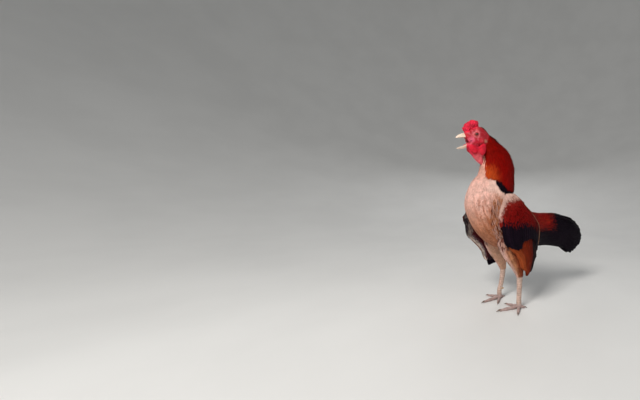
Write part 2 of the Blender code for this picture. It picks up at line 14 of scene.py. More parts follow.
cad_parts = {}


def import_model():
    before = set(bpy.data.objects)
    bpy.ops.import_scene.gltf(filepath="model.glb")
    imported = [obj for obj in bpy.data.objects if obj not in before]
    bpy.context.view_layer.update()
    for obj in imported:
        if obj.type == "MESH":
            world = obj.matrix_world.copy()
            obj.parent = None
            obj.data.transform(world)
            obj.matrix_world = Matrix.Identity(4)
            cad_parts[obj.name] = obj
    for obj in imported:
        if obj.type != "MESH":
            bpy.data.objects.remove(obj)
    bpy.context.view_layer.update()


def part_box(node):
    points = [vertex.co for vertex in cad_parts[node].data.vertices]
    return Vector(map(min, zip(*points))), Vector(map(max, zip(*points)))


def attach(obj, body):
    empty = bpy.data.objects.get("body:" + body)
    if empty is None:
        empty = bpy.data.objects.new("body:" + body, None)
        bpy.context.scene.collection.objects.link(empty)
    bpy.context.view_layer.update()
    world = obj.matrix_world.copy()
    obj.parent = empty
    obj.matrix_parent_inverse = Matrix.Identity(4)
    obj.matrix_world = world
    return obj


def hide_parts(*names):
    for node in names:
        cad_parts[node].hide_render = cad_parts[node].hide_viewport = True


bl_info = {
    "name": "Crowing Bantam Cock",
    "version": (1, 0, 0),
    "blender": (4, 5, 0),
    "location": "3D View > Sidebar > Bantam Cock",
    "description": "Skin, plumage, bill, eyes, legs and stage of a life-size bantam cock",
    "category": "Add Mesh",
}

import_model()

MM = 0.001
SEED = 11
SIDES = (("left", 1), ("right", -1))

# Places and sizes that the solids have too, in millimetres
EYE = (91.0, 11.6, 393.0)
EYE_RADIUS = 4.7
HOCK_HEIGHT = 74.0
FOOT_BALL_RADIUS = 6.6
STANCE = 38.0
FEET = ((-3.0, STANCE), (5.0, STANCE))
# Heights where a shank's tube starts, inside the thigh, and where the bare leg ends
SHANK_TOP = HOCK_HEIGHT + 7
BARE_TOP = HOCK_HEIGHT + 1

# Cross-sections of tail, torso and neck: (forward, up) on the back, (forward, up) on the belly, and
# half the width
BODY = (
    (-234, 150, -234, 120, 4),
    (-226, 168, -222, 104, 8),
    (-206, 190, -204, 98, 12),
    (-172, 202, -172, 116, 16),
    (-140, 211, -140, 125, 20),
    (-108, 213, -108, 131, 23),
    (-84, 214, -84, 132, 29),
    (-58, 220, -58, 134, 38),
    (-33, 236, -14, 135, 46),
    (-13, 251, 37, 140, 51),
    (0, 258, 79, 171, 54),
    (2, 264, 106, 220, 55),
    (-2, 274, 109, 254, 51),
    (-6, 290, 96, 288, 41),
    (-7, 307, 80, 307, 33),
    (-7, 326, 75, 326, 29),
    (6, 358, 71, 337, 24),
    (34, 381, 72, 355, 20),
    (52, 396, 82, 372, 17),
)
# Rows down a thigh: (forward, left, up, half depth, half width)
THIGH = (
    (24, 30, 173, 22, 17),
    (20, 34, 149, 28, 20),
    (11, 37, 121, 24, 18),
    (2, 38, 97, 15, 12.5),
    (-4, 38, 78, 9.0, 8.2),
    (-4.5, 38, HOCK_HEIGHT, 8.0, 7.2),
)
# Rows down a folded wing: (forward, up, half chord, half thickness)
WING = (
    (37, 266, 17, 3.5),
    (31, 252, 27, 6.0),
    (26, 238, 33, 7.0),
    (15, 217, 42, 7.0),
    (3, 188, 50, 6.5),
    (1, 160, 46, 6.0),
    (-5, 144, 36, 5.5),
    (-12.5, 125, 25, 5.0),
    (-12.5, 105, 17, 4.0),
    (-12, 90, 10.5, 3.0),
    (-11, 79, 4, 2.0),
)
WING_HINGE = (-40.0, 45.0)
WING_YAW = (0.0, 13.0)
WING_FORWARD = (0.0, 33.0)
WING_SWING_DEPTH = 62.0
TOES = (
    ("middle", (-9.0, -8.0), 46.0, 10.0, 4.1),
    ("inner", (-66.0, -54.0), 33.0, 9.0, 3.7),
    ("outer", (53.0, 58.0), 32.0, 9.0, 3.7),
    ("hind", (160.0, 168.0), 13.0, 7.0, 3.4),
)
SCUTE_PITCH = 5.2
COMB = (99.5, 0.0, 411.0)
COMB_RADII = (20.0, 7.5, 11.0)
COMB_TILT = 30.0
# Halves of the bill: name, node, base, tip, depth, width, droop, and where the root's dark horn ends
BILL = (
    ("bill_upper", "beak_upper", (103.5, 0, 390.3), (134.4, 0, 385.4), 5.6, 5.1, 1.5, 106.0),
    ("bill_lower", "beak_lower", (101.5, 0, 372.6), (132.8, 0, 361.4), 4.0, 4.5, -1.3, 104.0),
)
# Rows along the tongue: (forward, left, up, half depth, half width)
TONGUE = (
    (103, 0, 374.4, 1.7, 3.2),
    (107, 0, 373.0, 1.6, 3.3),
    (112, 0, 370.9, 1.3, 2.8),
    (116, 0, 369.2, 0.8, 1.7),
    (118, 0, 368.4, 0.2, 0.4),
)
PUPIL = 1.8
IRIS_RIM = 3.1

# Soft forms of the head: centre, radii, pitch, and how softly it melts into the forms before it. One
# with a place to the left stands on both sides
FLESH = (
    ((83, 0, 393), (24, 15.8, 19.5), 0, 0),
    ((67, 0, 380), (19, 16, 21), -30, 5),
    ((102, 0, 388.5), (13, 9.5, 9.5), 0, 4),
    ((108, 0, 394), (8, 6.5, 7), -30, 3),
    ((97, 0, 371.5), (16, 8.8, 7.5), -14, 3),
    ((82, 0, 360), (12, 10.5, 19), -35, 5),
    ((88, 0, 352), (29.5, 7.6, 9), 49.5, 4),
    ((94, 10, 399.5), (11, 4.5, 4.5), 0, 4),
    ((91, 8, 379), (13, 6.4, 9.5), 0, 4),
    ((104, 6.4, 380.5), (5.5, 3.0, 5.0), 20, 2),
    ((76, 14.5, 380), (6, 4, 6), 0, 4),
    ((97.5, 7.8, 362.5), (8.8, 2.4, 7.8), 20, 2.6),
    ((92.0, 8.6, 357.0), (5.0, 2.0, 6.5), 50, 1.6),
    ((76.5, 14.6, 360.5), (7.4, 3.2, 12.3), 14, 2.6),
    ((80.8, 14.9, 366.5), (3.6, 2.6, 6.0), 40, 1.4),
)
# The last of them are wattles and earlobes
LAPPETS = FLESH[11:]
MOUTH = ((118, 0, 379.3), (20, 6.2, 5.6))


class CockSizes(bpy.types.PropertyGroup):
    coat_depth: FloatProperty(
        name="Coat depth",
        description="How far the skin lies under the tips of the body feathers",
        default=0.003,
        unit="LENGTH",
    )
    skin_grain: FloatProperty(
        name="Skin mesh size",
        description="Size of the faces of the bare skin of the head",
        default=0.0007,
        unit="LENGTH",
    )
    comb_lobes: IntProperty(
        name="Comb lobes", description="Small round lobes on the comb", default=110
    )
    breast_spacing: FloatProperty(
        name="Breast feather spacing",
        description="Least distance between the roots of breast feathers",
        default=0.0019,
        unit="LENGTH",
    )
    breast_length: FloatProperty(
        name="Breast feather length",
        description="Length of a breast feather",
        default=0.0115,
        unit="LENGTH",
    )
    hackle_length: FloatProperty(
        name="Hackle length",
        description="Length of a long hackle feather of the neck",
        default=0.040,
        unit="LENGTH",
    )
    saddle_length: FloatProperty(
        name="Saddle length",
        description="Length of a long saddle feather of the back",
        default=0.042,
        unit="LENGTH",
    )


def colour(name, description, default):
    return FloatVectorProperty(
        name=name, description=description, default=default, size=3, subtype="COLOR", min=0, max=1
    )


class CockColours(bpy.types.PropertyGroup):
    comb: colour("Comb", "Crimson of comb, wattles and earlobes", (0.92, 0.004, 0.05))
    face: colour("Face", "Red of the bare face", (0.52, 0.015, 0.024))
    orbit: colour("Orbit", "Orange pink round the eye", (0.82, 0.22, 0.24))
    throat: colour("Throat", "Pink of the bare throat", (0.86, 0.17, 0.20))
    mouth: colour("Mouth", "Dark red inside the mouth", (0.42, 0.05, 0.07))
    iris: colour("Iris", "Red brown of the iris", (0.2, 0.035, 0.015))
    horn: colour("Horn", "Cream of the bill", (0.80, 0.63, 0.50))
    horn_dark: colour("Dark horn", "Brown at the root of bill and claws", (0.42, 0.28, 0.17))
    claw: colour("Claw", "Horn of the claws", (0.17, 0.11, 0.08))
    scale: colour("Scale", "Pale flesh of the legs", (0.52, 0.385, 0.32))
    scale_pink: colour("Pink scale", "Pink between the scutes", (0.43, 0.25, 0.21))
    breast: colour("Breast", "Palest salmon of the breast", (0.64, 0.38, 0.32))
    salmon: colour("Salmon", "Salmon of the neck front", (0.56, 0.24, 0.165))
    tan: colour("Tan", "Orange tan of the lower breast", (0.36, 0.14, 0.072))
    buff: colour("Buff", "Buff of thighs and belly", (0.44, 0.24, 0.14))
    fleck: colour("Fleck", "Dark brown flecks", (0.09, 0.017, 0.005))
    cream: colour("Cream", "Cream of the shoulder", (0.56, 0.38, 0.32))
    hackle: colour("Hackle", "Deep red of the hackle", (0.165, 0.0014, 0.0008))
    flame: colour("Flame", "Orange of the lower hackle", (0.38, 0.052, 0.009))
    bow: colour("Wing bow", "Mahogany of the wing bow", (0.13, 0.0028, 0.0028))
    bay: colour("Wing bay", "Rust of the secondaries", (0.17, 0.022, 0.005))
    saddle: colour("Saddle", "Deep red of the saddle", (0.18, 0.0035, 0.003))
    black: colour("Black", "Blue black of tail and wing bar", (0.0036, 0.0016, 0.0034))
    grey: colour("Grey", "Grey beige of the far wing's edge", (0.42, 0.34, 0.29))
    floor: colour("Floor", "Pale floor and backdrop", (0.74, 0.74, 0.73))


def sizes():
    return bpy.context.scene.cock_sizes


def paint(name):
    return np.array(getattr(bpy.context.scene.cock_colours, name)[:])


# Places and plain geometry


EYE_LOW, EYE_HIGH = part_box("eye_left")
ORIGIN = np.array((EYE_LOW + EYE_HIGH) / 2 + Vector((EYE[0], EYE[1], -EYE[2])) * MM)
TO_WORLD = np.array((-MM, -MM, MM))


def world(points):
    """Points given as (forward, left, up) in millimetres, in the frame's metres."""
    return np.asarray(points, float) * TO_WORLD + ORIGIN


def on_bird(points):
    """Points given in the frame's metres, as (forward, left, up) in millimetres."""
    return (np.asarray(points, float) - ORIGIN) / TO_WORLD


def unit(vectors):
    vectors = np.asarray(vectors, float)
    return vectors / np.maximum(np.linalg.norm(vectors, axis=-1, keepdims=True), 1e-9)


def length_of(vectors):
    return np.linalg.norm(vectors, axis=-1)


def mix(first, second, share):
    share = np.asarray(share, float)[..., None]
    return first * (1 - share) + second * share


def ramp(value, low, high):
    """A smooth step from 0 at low to 1 at high."""
    share = np.clip((np.asarray(value, float) - low) / (high - low), 0, 1)
    return share * share * (3 - 2 * share)


def matched(*values):
    """Values as arrays of one shape."""
    return np.broadcast_arrays(*(np.asarray(value, float) for value in values))


def of_side(pair, side):
    return pair[0 if side == 1 else 1]


def row_at(table, t):
    """Rows of a table at places t, read from a smooth curve through its rows."""
    rows = np.array(table, float)
    t = np.asarray(t, float)
    last = len(rows) - 1
    inside = np.clip(t, 0, last)
    i = np.clip(inside.astype(int), 0, last - 1)
    f = (inside - i)[..., None]
    a, b, c, d = (rows[np.clip(i + k, 0, last)] for k in (-1, 0, 1, 2))
    bend, twist = 2 * a - 5 * b + 4 * c - d, 3 * b - a - 3 * c + d
    curve = 2 * b + (c - a) * f + bend * f**2 + twist * f**3
    slope = (c - a) + 2 * bend * f + 3 * twist * f**2
    return (curve + slope * (t - inside)[..., None]) / 2


def body_point(t, angle, out=0.0):
    """A point of tail, torso or neck: angle 0 is on the back line, 90 degrees is on the left."""
    t, angle, out = matched(t, angle, out)
    back_u, back_w, belly_u, belly_w, width = np.moveaxis(row_at(BODY, t), -1, 0)
    nothing = np.zeros_like(back_u)
    back = np.stack((back_u, nothing, back_w), -1)
    belly = np.stack((belly_u, nothing, belly_w), -1)
    depth = length_of(back - belly)
    c, s = np.cos(np.radians(angle)), np.sin(np.radians(angle))
    point = (back + belly) / 2 + unit(back - belly) * (c * (depth / 2 + out))[..., None]
    point[..., 1] += s * (width + out)
    return point


def thigh_point(side, t, angle, out=0.0):
    """A point of a thigh: angle 0 is on its front, 90 degrees on its outer side."""
    t, angle, out = matched(t, angle, out)
    row = row_at(THIGH, t)
    c, s = np.cos(np.radians(angle)), np.sin(np.radians(angle))
    forward = row[..., 0] + c * (row[..., 3] + out)
    left = side * (row[..., 1] + s * (row[..., 4] + out))
    return np.stack((forward, left, row[..., 2] + 0 * c), -1)


def shield(forward, up):
    """How far out a folded wing lies, over the flank above and the thigh below."""
    across = (forward - 8.0) / 60.0
    above = np.maximum(up - 192.0, 0.0) / 75.0
    below = np.maximum(192.0 - up, 0.0) / 115.0
    return 62.0 - 10.5 * across**2 - 13.0 * above**2 - 3.0 * below**2


def wing_point(side, t, place, out=0.0, inner=False):
    """A point on a wing's outer or inner face, t rows down it and at -1 (rear) to 1 (front) of its chord."""
    t, place, out = matched(t, place, out)
    row_forward, up, chord, thickness = np.moveaxis(row_at(WING, t), -1, 0)
    forward = row_forward + chord * place
    swell = thickness * np.sqrt(np.maximum(1.0 - place**2, 0.0)) + out
    away = shield(forward, up) + (-swell if inner else swell)
    yaw = math.radians(of_side(WING_YAW, side))
    ahead, aside = forward - WING_HINGE[0], away - WING_HINGE[1]
    turned = (ahead * math.cos(yaw) - aside * math.sin(yaw), ahead * math.sin(yaw) + aside * math.cos(yaw))
    swing = np.clip((WING[0][1] - up) / WING_SWING_DEPTH, 0.0, 1.0)
    forward = WING_HINGE[0] + turned[0] + of_side(WING_FORWARD, side) * swing
    return np.stack((forward, side * (WING_HINGE[1] + turned[1]), up + 0 * forward), -1)


class Surface:
    """A surface that carries feathers, in two coordinates of its own, and the way they lie on it."""

    def __init__(self, point, flow, nudge, span):
        self.point = point
        self.flow = flow
        self.nudge = nudge
        self.span = span

    def slopes(self, t, place):
        dt, dp = self.nudge
        along = (self.point(t + dt, place) - self.point(t - dt, place)) / (2 * dt)
        round_it = (self.point(t, place + dp) - self.point(t, place - dp)) / (2 * dp)
        return along, round_it

    def normal(self, t, place):
        normal = unit(np.cross(*self.slopes(t, place)))
        outward = self.point(t, place, 1.0) - self.point(t, place, 0.0)
        return normal * np.sign(np.sum(normal * outward, -1, keepdims=True) + 1e-12)

    def run(self, t, place, length, shares, swerve=0.0):
        """Coordinates of the stations of feathers that start at t and place and follow the surface."""
        ts, places = [t], [place]
        for share in np.diff(shares):
            step = length * share
            along, round_it = self.slopes(ts[-1], places[-1])
            ts.append(ts[-1] + self.flow * step * np.cos(swerve) / np.maximum(length_of(along), 1e-3))
            places.append(places[-1] + step * np.sin(swerve) / np.maximum(length_of(round_it), 1e-3))
        return np.stack(ts, 1), np.stack(places, 1)

    def room(self, t, place, edge):
        """How long a feather may be before its tip passes t = edge, in millimetres."""
        run = np.zeros(len(t))
        here = np.array(t, float)
        for _ in range(40):
            step = np.clip((edge - here) * self.flow, 0.0, 0.2)
            along, _ = self.slopes(here, place)
            run += step * length_of(along)
            here = here + self.flow * step
        return run

    def map_place(self, t, place):
        """Where a root lies on an unwrap of this surface, from 0 to 1 each way."""
        (t0, t1), (p0, p1) = self.span
        return np.stack(((place - p0) / (p1 - p0), (t - t0) / (t1 - t0)), -1) * 0.96 + 0.02


BODY_SURFACE = Surface(body_point, -1.0, (0.04, 1.5), ((0, 18.5), (-190, 190)))


def wing_surface(side, inner=False):
    def point(t, place, out=0.0):
        return wing_point(side, t, place, out, inner)

    return Surface(point, 1.0, (0.06, 0.03), ((0, 10), (-1.1, 1.1)))


def thigh_surface(side):
    def point(t, angle, out=0.0):
        return thigh_point(side, t, angle, out)

    return Surface(point, 1.0, (0.04, 2.0), ((0, 5), (-190, 190)))


# Meshes


def deselect():
    bpy.ops.object.select_all(action="DESELECT")


def add_object(name, mesh):
    piece = bpy.data.objects.new(name, mesh)
    bpy.context.scene.collection.objects.link(piece)
    return piece


def activate(piece):
    deselect()
    piece.select_set(True)
    bpy.context.view_layer.objects.active = piece


def modify(piece, kind, **settings):
    """Adds a modifier with these settings and applies it."""
    activate(piece)
    modifier = piece.modifiers.new(kind.lower(), kind)
    for key, value in settings.items():
        setattr(modifier, key, value)
    bpy.ops.object.modifier_apply(modifier=modifier.name)
    return piece


def combine(piece, other, operation):
    """Joins or cuts a closed piece with another closed one, which is then removed."""
    modify(piece, "BOOLEAN", operation=operation, solver="MANIFOLD", object=other)
    piece.data.materials.clear()
    bpy.data.objects.remove(other)
    return piece


def joined(pieces, name):
    deselect()
    for piece in pieces:
        piece.select_set(True)
    bpy.context.view_layer.objects.active = pieces[0]
    bpy.ops.object.join()
    pieces[0].name = name
    return pieces[0]


def turned(pitch):
    """Axes of a form whose front is raised by pitch, in (forward, left, up)."""
    p = math.radians(pitch)
    forward, left = (math.cos(p), 0.0, math.sin(p)), (0.0, 1.0, 0.0)
    return np.array((forward, left, np.cross(forward, left)))


def ball(name, centre, radii, pitch=0.0, segments=24, rings=14):
    """An ellipsoid, added as a sphere and set at its size and place in its mesh."""
    deselect()
    bpy.ops.mesh.primitive_uv_sphere_add(segments=segments, ring_count=rings, radius=1.0)
    piece = bpy.context.object
    piece.name = name
    axes = turned(pitch) * np.array(radii)[:, None]
    matrix = np.eye(4)
    matrix[:3, :3] = (axes * TO_WORLD).T
    matrix[:3, 3] = world(centre)
    piece.data.transform(Matrix(matrix))
    return piece


def grid_piece(name, grid, capped=True, wrapped=True):
    """A mesh through rows of points; wrapped rows are rings, and capped ends are closed."""
    stations, points = grid.shape[:2]
    index = np.arange(stations * points).reshape(stations, points)
    beside = np.roll(index, -1, 1) if wrapped else index[:, 1:]
    here = index if wrapped else index[:, :-1]
    quads = np.stack((here[:-1], beside[:-1], beside[1:], here[1:]), -1).reshape(-1, 4).tolist()
    if capped:
        quads += [index[0, ::-1].tolist(), index[-1].tolist()]
    mesh = bpy.data.meshes.new(name)
    mesh.from_pydata(world(grid.reshape(-1, 3)).tolist(), [], quads)
    piece = add_object(name, mesh)
    if capped:
        point_outward(piece)
    return piece


def point_outward(piece):
    activate(piece)
    bpy.ops.object.mode_set(mode="EDIT")
    bpy.ops.mesh.select_all(action="SELECT")
    bpy.ops.mesh.normals_make_consistent(inside=False)
    bpy.ops.object.mode_set(mode="OBJECT")


def tube_grid(rows, stations, points, up=(0.0, 0.0, 1.0), swell=None):
    """Rings along rows of (forward, left, up, half depth along up, half width), square to their line."""
    t = np.linspace(0, len(rows) - 1, stations)
    row = row_at(rows, t)
    tangent = unit(row_at(rows, t + 0.01)[:, :3] - row_at(rows, t - 0.01)[:, :3])
    aside = unit(np.cross(np.array(up, float), tangent))
    upward = np.cross(tangent, aside)
    angle = math.tau * np.arange(points) / points
    across = aside[:, None] * (row[:, 4:5] * np.sin(angle))[..., None]
    across = across + upward[:, None] * (row[:, 3:4] * np.cos(angle))[..., None]
    if swell is not None:
        run = np.concatenate(((0.0,), np.cumsum(length_of(np.diff(row[:, :3], axis=0)))))
        across *= swell(run[:, None], angle[None, :])[..., None]
    return row[:, None, :3] + across


def vectors_of(items, attribute):
    values = np.empty(len(items) * 3)
    items.foreach_get(attribute, values)
    return values.reshape(-1, 3)


def vertex_points(piece):
    return vectors_of(piece.data.vertices, "co")


def set_points(piece, points):
    piece.data.vertices.foreach_set("co", np.asarray(points, np.float32).ravel())
    piece.data.update()


def keep_above_floor(piece):
    points = vertex_points(piece)
    points[:, 2] = np.maximum(points[:, 2], 0.0)
    set_points(piece, points)


def set_tint(piece, tints):
    """Stores a colour for each point of a mesh, which its material reads."""
    layer = piece.data.color_attributes.get("tint")
    if layer is None:
        layer = piece.data.color_attributes.new("tint", "FLOAT_COLOR", "POINT")
    values = np.ones((len(piece.data.vertices), 4), np.float32)
    values[:, :3] = np.clip(tints, 0.0, 1.0)
    layer.data.foreach_set("color", values.ravel())


def set_map(mesh, name, values):
    """A UV map that gives each corner the value of its point."""
    layer = mesh.uv_layers.get(name) or mesh.uv_layers.new(name=name, do_init=False)
    corners = np.empty(len(mesh.loops), np.int32)
    mesh.loops.foreach_get("vertex_index", corners)
    layer.uv.foreach_set("vector", np.asarray(values, np.float32)[corners].ravel())


def smooth_shade(piece, angle):
    piece.data.shade_smooth()
    piece.data.set_sharp_from_angle(angle=math.radians(angle))


def keep(piece, slot, *nodes):
    """Puts a finished piece on the bird's body, in the place of these nodes."""
    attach(piece, "root")
    if nodes:
        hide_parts(*nodes)
    return piece


def remesh(piece, size, smoothing):
    modify(piece, "REMESH", mode="VOXEL", voxel_size=size)
    if smoothing:
        modify(piece, "SMOOTH", factor=0.5, iterations=smoothing)
    return piece


# Shader nodes


def set_socket(tree, socket, value):
    if isinstance(value, bpy.types.NodeSocket):
        tree.links.new(value, socket)
    else:
        socket.default_value = value


def fill(tree, node, **values):
    """Sets a node's sockets by name, with _ for a space. Any other name is a setting of the node."""
    for key, value in values.items():
        socket = key.replace("_", " ")
        if socket in node.inputs:
            set_socket(tree, node.inputs[socket], value)
        else:
            setattr(node, key, value)
    return node


def new_node(tree, kind, **values):
    return fill(tree, tree.nodes.new("ShaderNode" + kind), **values)


def maths(tree, operation, *values):
    node = new_node(tree, "Math", operation=operation)
    for socket, value in zip(node.inputs, values):
        set_socket(tree, socket, value)
    return node.outputs[0]


def span(tree, value, low, high, to_low=0.0, to_high=1.0):
    """A smooth step of a value from one range to another."""
    limits = {"From_Min": low, "From_Max": high, "To_Min": to_low, "To_Max": to_high}
    return new_node(tree, "MapRange", interpolation_type="SMOOTHSTEP", Value=value, **limits).outputs[0]


def blended(tree, factor, first, second):
    node = new_node(tree, "Mix", data_type="RGBA")
    for number, value in ((0, factor), (6, first), (7, second)):
        colour_given = isinstance(value, (tuple, np.ndarray))
        set_socket(tree, node.inputs[number], (*value, 1.0) if colour_given else value)
    return node.outputs[2]


def scaled(tree, tint, factor):
    """A colour made lighter or darker by a factor."""
    return new_node(tree, "VectorMath", operation="SCALE", Vector=tint, Scale=factor).outputs[0]


def clouds(tree, **values):
    """Noise in the piece's own space."""
    place = new_node(tree, "TexCoord").outputs["Object"]
    return new_node(tree, "TexNoise", Vector=place, **values).outputs[0]


def point_tint(tree):
    """The colour that set_tint stored for each point."""
    return new_node(tree, "Attribute", attribute_name="tint").outputs["Color"]


def new_group(name, inputs, outputs):
    """An empty shader group with named sockets; returns it with the sockets given and its output node."""
    group = bpy.data.node_groups.new(name, "ShaderNodeTree")
    for direction, sockets in (("INPUT", inputs), ("OUTPUT", outputs)):
        for socket in sockets:
            kind = "NodeSocketColor" if "Color" in socket else "NodeSocketFloat"
            group.interface.new_socket(name=socket, in_out=direction, socket_type=kind)
    return group, group.nodes.new("NodeGroupInput").outputs, group.nodes.new("NodeGroupOutput")


def barbs_group():
    """Barbs of a feather: fine slanting lines and a shaft, as colour and height."""
    if "Barbs" in bpy.data.node_groups:
        return bpy.data.node_groups["Barbs"]
    sockets = ("Color", "Across", "Along", "Pitch", "Slant", "Contrast", "Shaft")
    tree, given, made = new_group("Barbs", sockets, ("Color", "Height"))
    side = maths(tree, "ABSOLUTE", given["Across"])
    swept = maths(tree, "MULTIPLY_ADD", side, given["Slant"], given["Along"])
    bent = maths(tree, "MULTIPLY_ADD", clouds(tree, Scale=260.0, Detail=2.0), 1.4, swept)
    turns = maths(tree, "DIVIDE", bent, given["Pitch"])
    wave = maths(tree, "SINE", maths(tree, "MULTIPLY", turns, math.tau))
    line = span(tree, wave, -1.0, 1.0)
    shaft = span(tree, side, 0.10, 0.30, 1.0, 0.0)
    lit = maths(tree, "MULTIPLY_ADD", line, given["Contrast"], 1.0)
    dimmed = maths(tree, "MULTIPLY_ADD", given["Contrast"], -0.55, lit)
    cloud = span(tree, clouds(tree, Scale=90.0, Detail=3.0), 0.3, 0.7, 0.86, 1.14)
    level = maths(tree, "MULTIPLY_ADD", shaft, given["Shaft"], maths(tree, "MULTIPLY", dimmed, cloud))
    fill(tree, made, Color=scaled(tree, given["Color"], level), Height=maths(tree, "ADD", line, shaft))
    return tree


def grain_group():
    """Grain of bare skin: small round papillae with soft patches of colour, and painted shade in the creases
    between them.
    """
    if "Skin Grain" in bpy.data.node_groups:
        return bpy.data.node_groups["Skin Grain"]
    sockets = ("Color", "Crease Color", "Cell Scale", "Patch Scale", "Contrast")
    tree, given, made = new_group("Skin Grain", sockets, ("Color", "Height", "Crease"))
    place = new_node(tree, "TexCoord").outputs["Object"]
    cells = new_node(
        tree, "TexVoronoi", feature="SMOOTH_F1", Smoothness=0.35, Vector=place, Scale=given["Cell Scale"]
    )
    crease = span(tree, cells.outputs["Distance"], 0.15, 0.62)
    cloud = span(tree, clouds(tree, Detail=4.0, Scale=given["Patch Scale"]), 0.35, 0.65, 0.8, 1.18)
    amount = maths(tree, "MULTIPLY", crease, given["Contrast"])
    # The crease colour, mixed in where the cells meet, is painted shade in the creases.
    tinted = blended(tree, amount, scaled(tree, given["Color"], cloud), given["Crease Color"])
    fine = clouds(tree, Scale=1600.0, Detail=2.0)
    height = maths(tree, "MULTIPLY_ADD", fine, 0.4, maths(tree, "SUBTRACT", 1.0, crease))
    fill(tree, made, Color=tinted, Height=height, Crease=crease)
    return tree


def new_material(name):
    made = bpy.data.materials.new(name)
    made.use_nodes = True
    return made, made.node_tree, made.node_tree.nodes["Principled BSDF"]


def bumped(tree, shader, height, distance, strength=1.0):
    bump = new_node(tree, "Bump", Strength=strength, Distance=distance, Height=height)
    fill(tree, shader, Normal=bump.outputs[0])


def feather_material(name, roughness, contrast, pitch, shine, gloss, sheen=0.0):
    """Feathers in the colours of their points, with barbs along each vane's own map."""
    if name in bpy.data.materials:
        return bpy.data.materials[name]
    made, tree, shader = new_material(name)
    vane = new_node(tree, "UVMap", uv_map="Vane")
    split = new_node(tree, "SeparateXYZ", Vector=vane.outputs[0])
    barbs = new_node(
        tree, "Group", node_tree=barbs_group(), Color=point_tint(tree), Across=split.outputs[0],
        Along=split.outputs[1], Pitch=pitch, Slant=1.3, Contrast=contrast, Shaft=0.2,
    )
    fill(
        tree, shader, Base_Color=barbs.outputs["Color"], Roughness=roughness, Specular_Tint=(*gloss, 1.0),
        Specular_IOR_Level=shine, Sheen_Weight=sheen, Sheen_Roughness=0.4,
    )
    bumped(tree, shader, barbs.outputs["Height"], 0.00015, 0.6)
    return made


def skin_material(name, crease, cells, patches, roughness, contrast, depth, soft):
    """Bare skin in the colours of its points, with cells, and a darker colour in the creases as painted
    shade.
    """
    if name in bpy.data.materials:
        return bpy.data.materials[name]
    made, tree, shader = new_material(name)
    grain = new_node(
        tree, "Group", node_tree=grain_group(), Color=point_tint(tree), Crease_Color=(*crease, 1.0),
        Cell_Scale=cells, Patch_Scale=patches, Contrast=contrast,
    )
    rough = span(tree, grain.outputs["Crease"], 0.0, 1.0, roughness, min(roughness + 0.25, 1.0))
    fill(
        tree, shader, Base_Color=grain.outputs["Color"], Roughness=rough, Specular_IOR_Level=0.3,
        Subsurface_Weight=soft, Subsurface_Radius=(0.004, 0.0015, 0.001), Subsurface_Scale=1.0,
    )
    bumped(tree, shader, grain.outputs["Height"], depth)
    return made


def horn_material(name, fibres, roughness):
    """Horn in the colours of its points, with fine fibres along it and a waxy coat."""
    if name in bpy.data.materials:
        return bpy.data.materials[name]
    made, tree, shader = new_material(name)
    place = new_node(tree, "TexCoord").outputs["Object"]
    stretch = new_node(tree, "Mapping", Scale=(90.0, 700.0, 700.0), Vector=place)
    fibre = new_node(tree, "TexNoise", Scale=1.0, Detail=4.0, Vector=stretch.outputs[0]).outputs[0]
    shade = span(tree, fibre, 0.3, 0.7, 1.0 - fibres, 1.0 + 0.3 * fibres)
    rough = span(tree, fibre, 0.3, 0.7, roughness, roughness + 0.15)
    fill(
        tree, shader, Base_Color=scaled(tree, point_tint(tree), shade), Roughness=rough, Coat_Weight=0.25,
        Coat_Roughness=0.25, Subsurface_Weight=0.1, Subsurface_Radius=(0.002, 0.0015, 0.001),
        Subsurface_Scale=1.0,
    )
    bumped(tree, shader, fibre, 0.0002, 0.5)
    return made


# Feathers


# Points round a vane's section: share of the half width, share of the arch, side of the thickness
SMALL_SECTION = ((-1.0, 0.0, 0.0), (0.0, 1.0, 1.0), (1.0, 0.0, 0.0), (0.0, 1.0, -1.0))
WIDE_SECTION = (
    (-1.0, 0.0, 0.0),
    (-0.5, 0.72, 0.8),
    (0.0, 1.0, 1.6),
    (0.5, 0.72, 0.8),
    (1.0, 0.0, 0.0),
    (0.5, 0.72, -0.8),
    (0.0, 1.0, -1.0),
    (-0.5, 0.72, -0.8),
)
# Outlines of vanes: shares of the length, and of the greatest half width at each
ROUNDED = np.array(((0.0, 0.28, 0.55, 0.78, 0.93, 1.0), (0.3, 0.8, 1.0, 0.9, 0.56, 0.12)))
LANCE = np.array(((0.0, 0.2, 0.4, 0.62, 0.84, 1.0), (0.35, 0.85, 1.0, 0.86, 0.48, 0.05)))
FLIGHT = np.array((
    (0.0, 0.12, 0.28, 0.45, 0.62, 0.76, 0.86, 0.92, 0.96, 0.983, 0.996),
    (0.35, 0.62, 0.84, 0.95, 1.0, 1.0, 0.97, 0.90, 0.76, 0.54, 0.24),
))


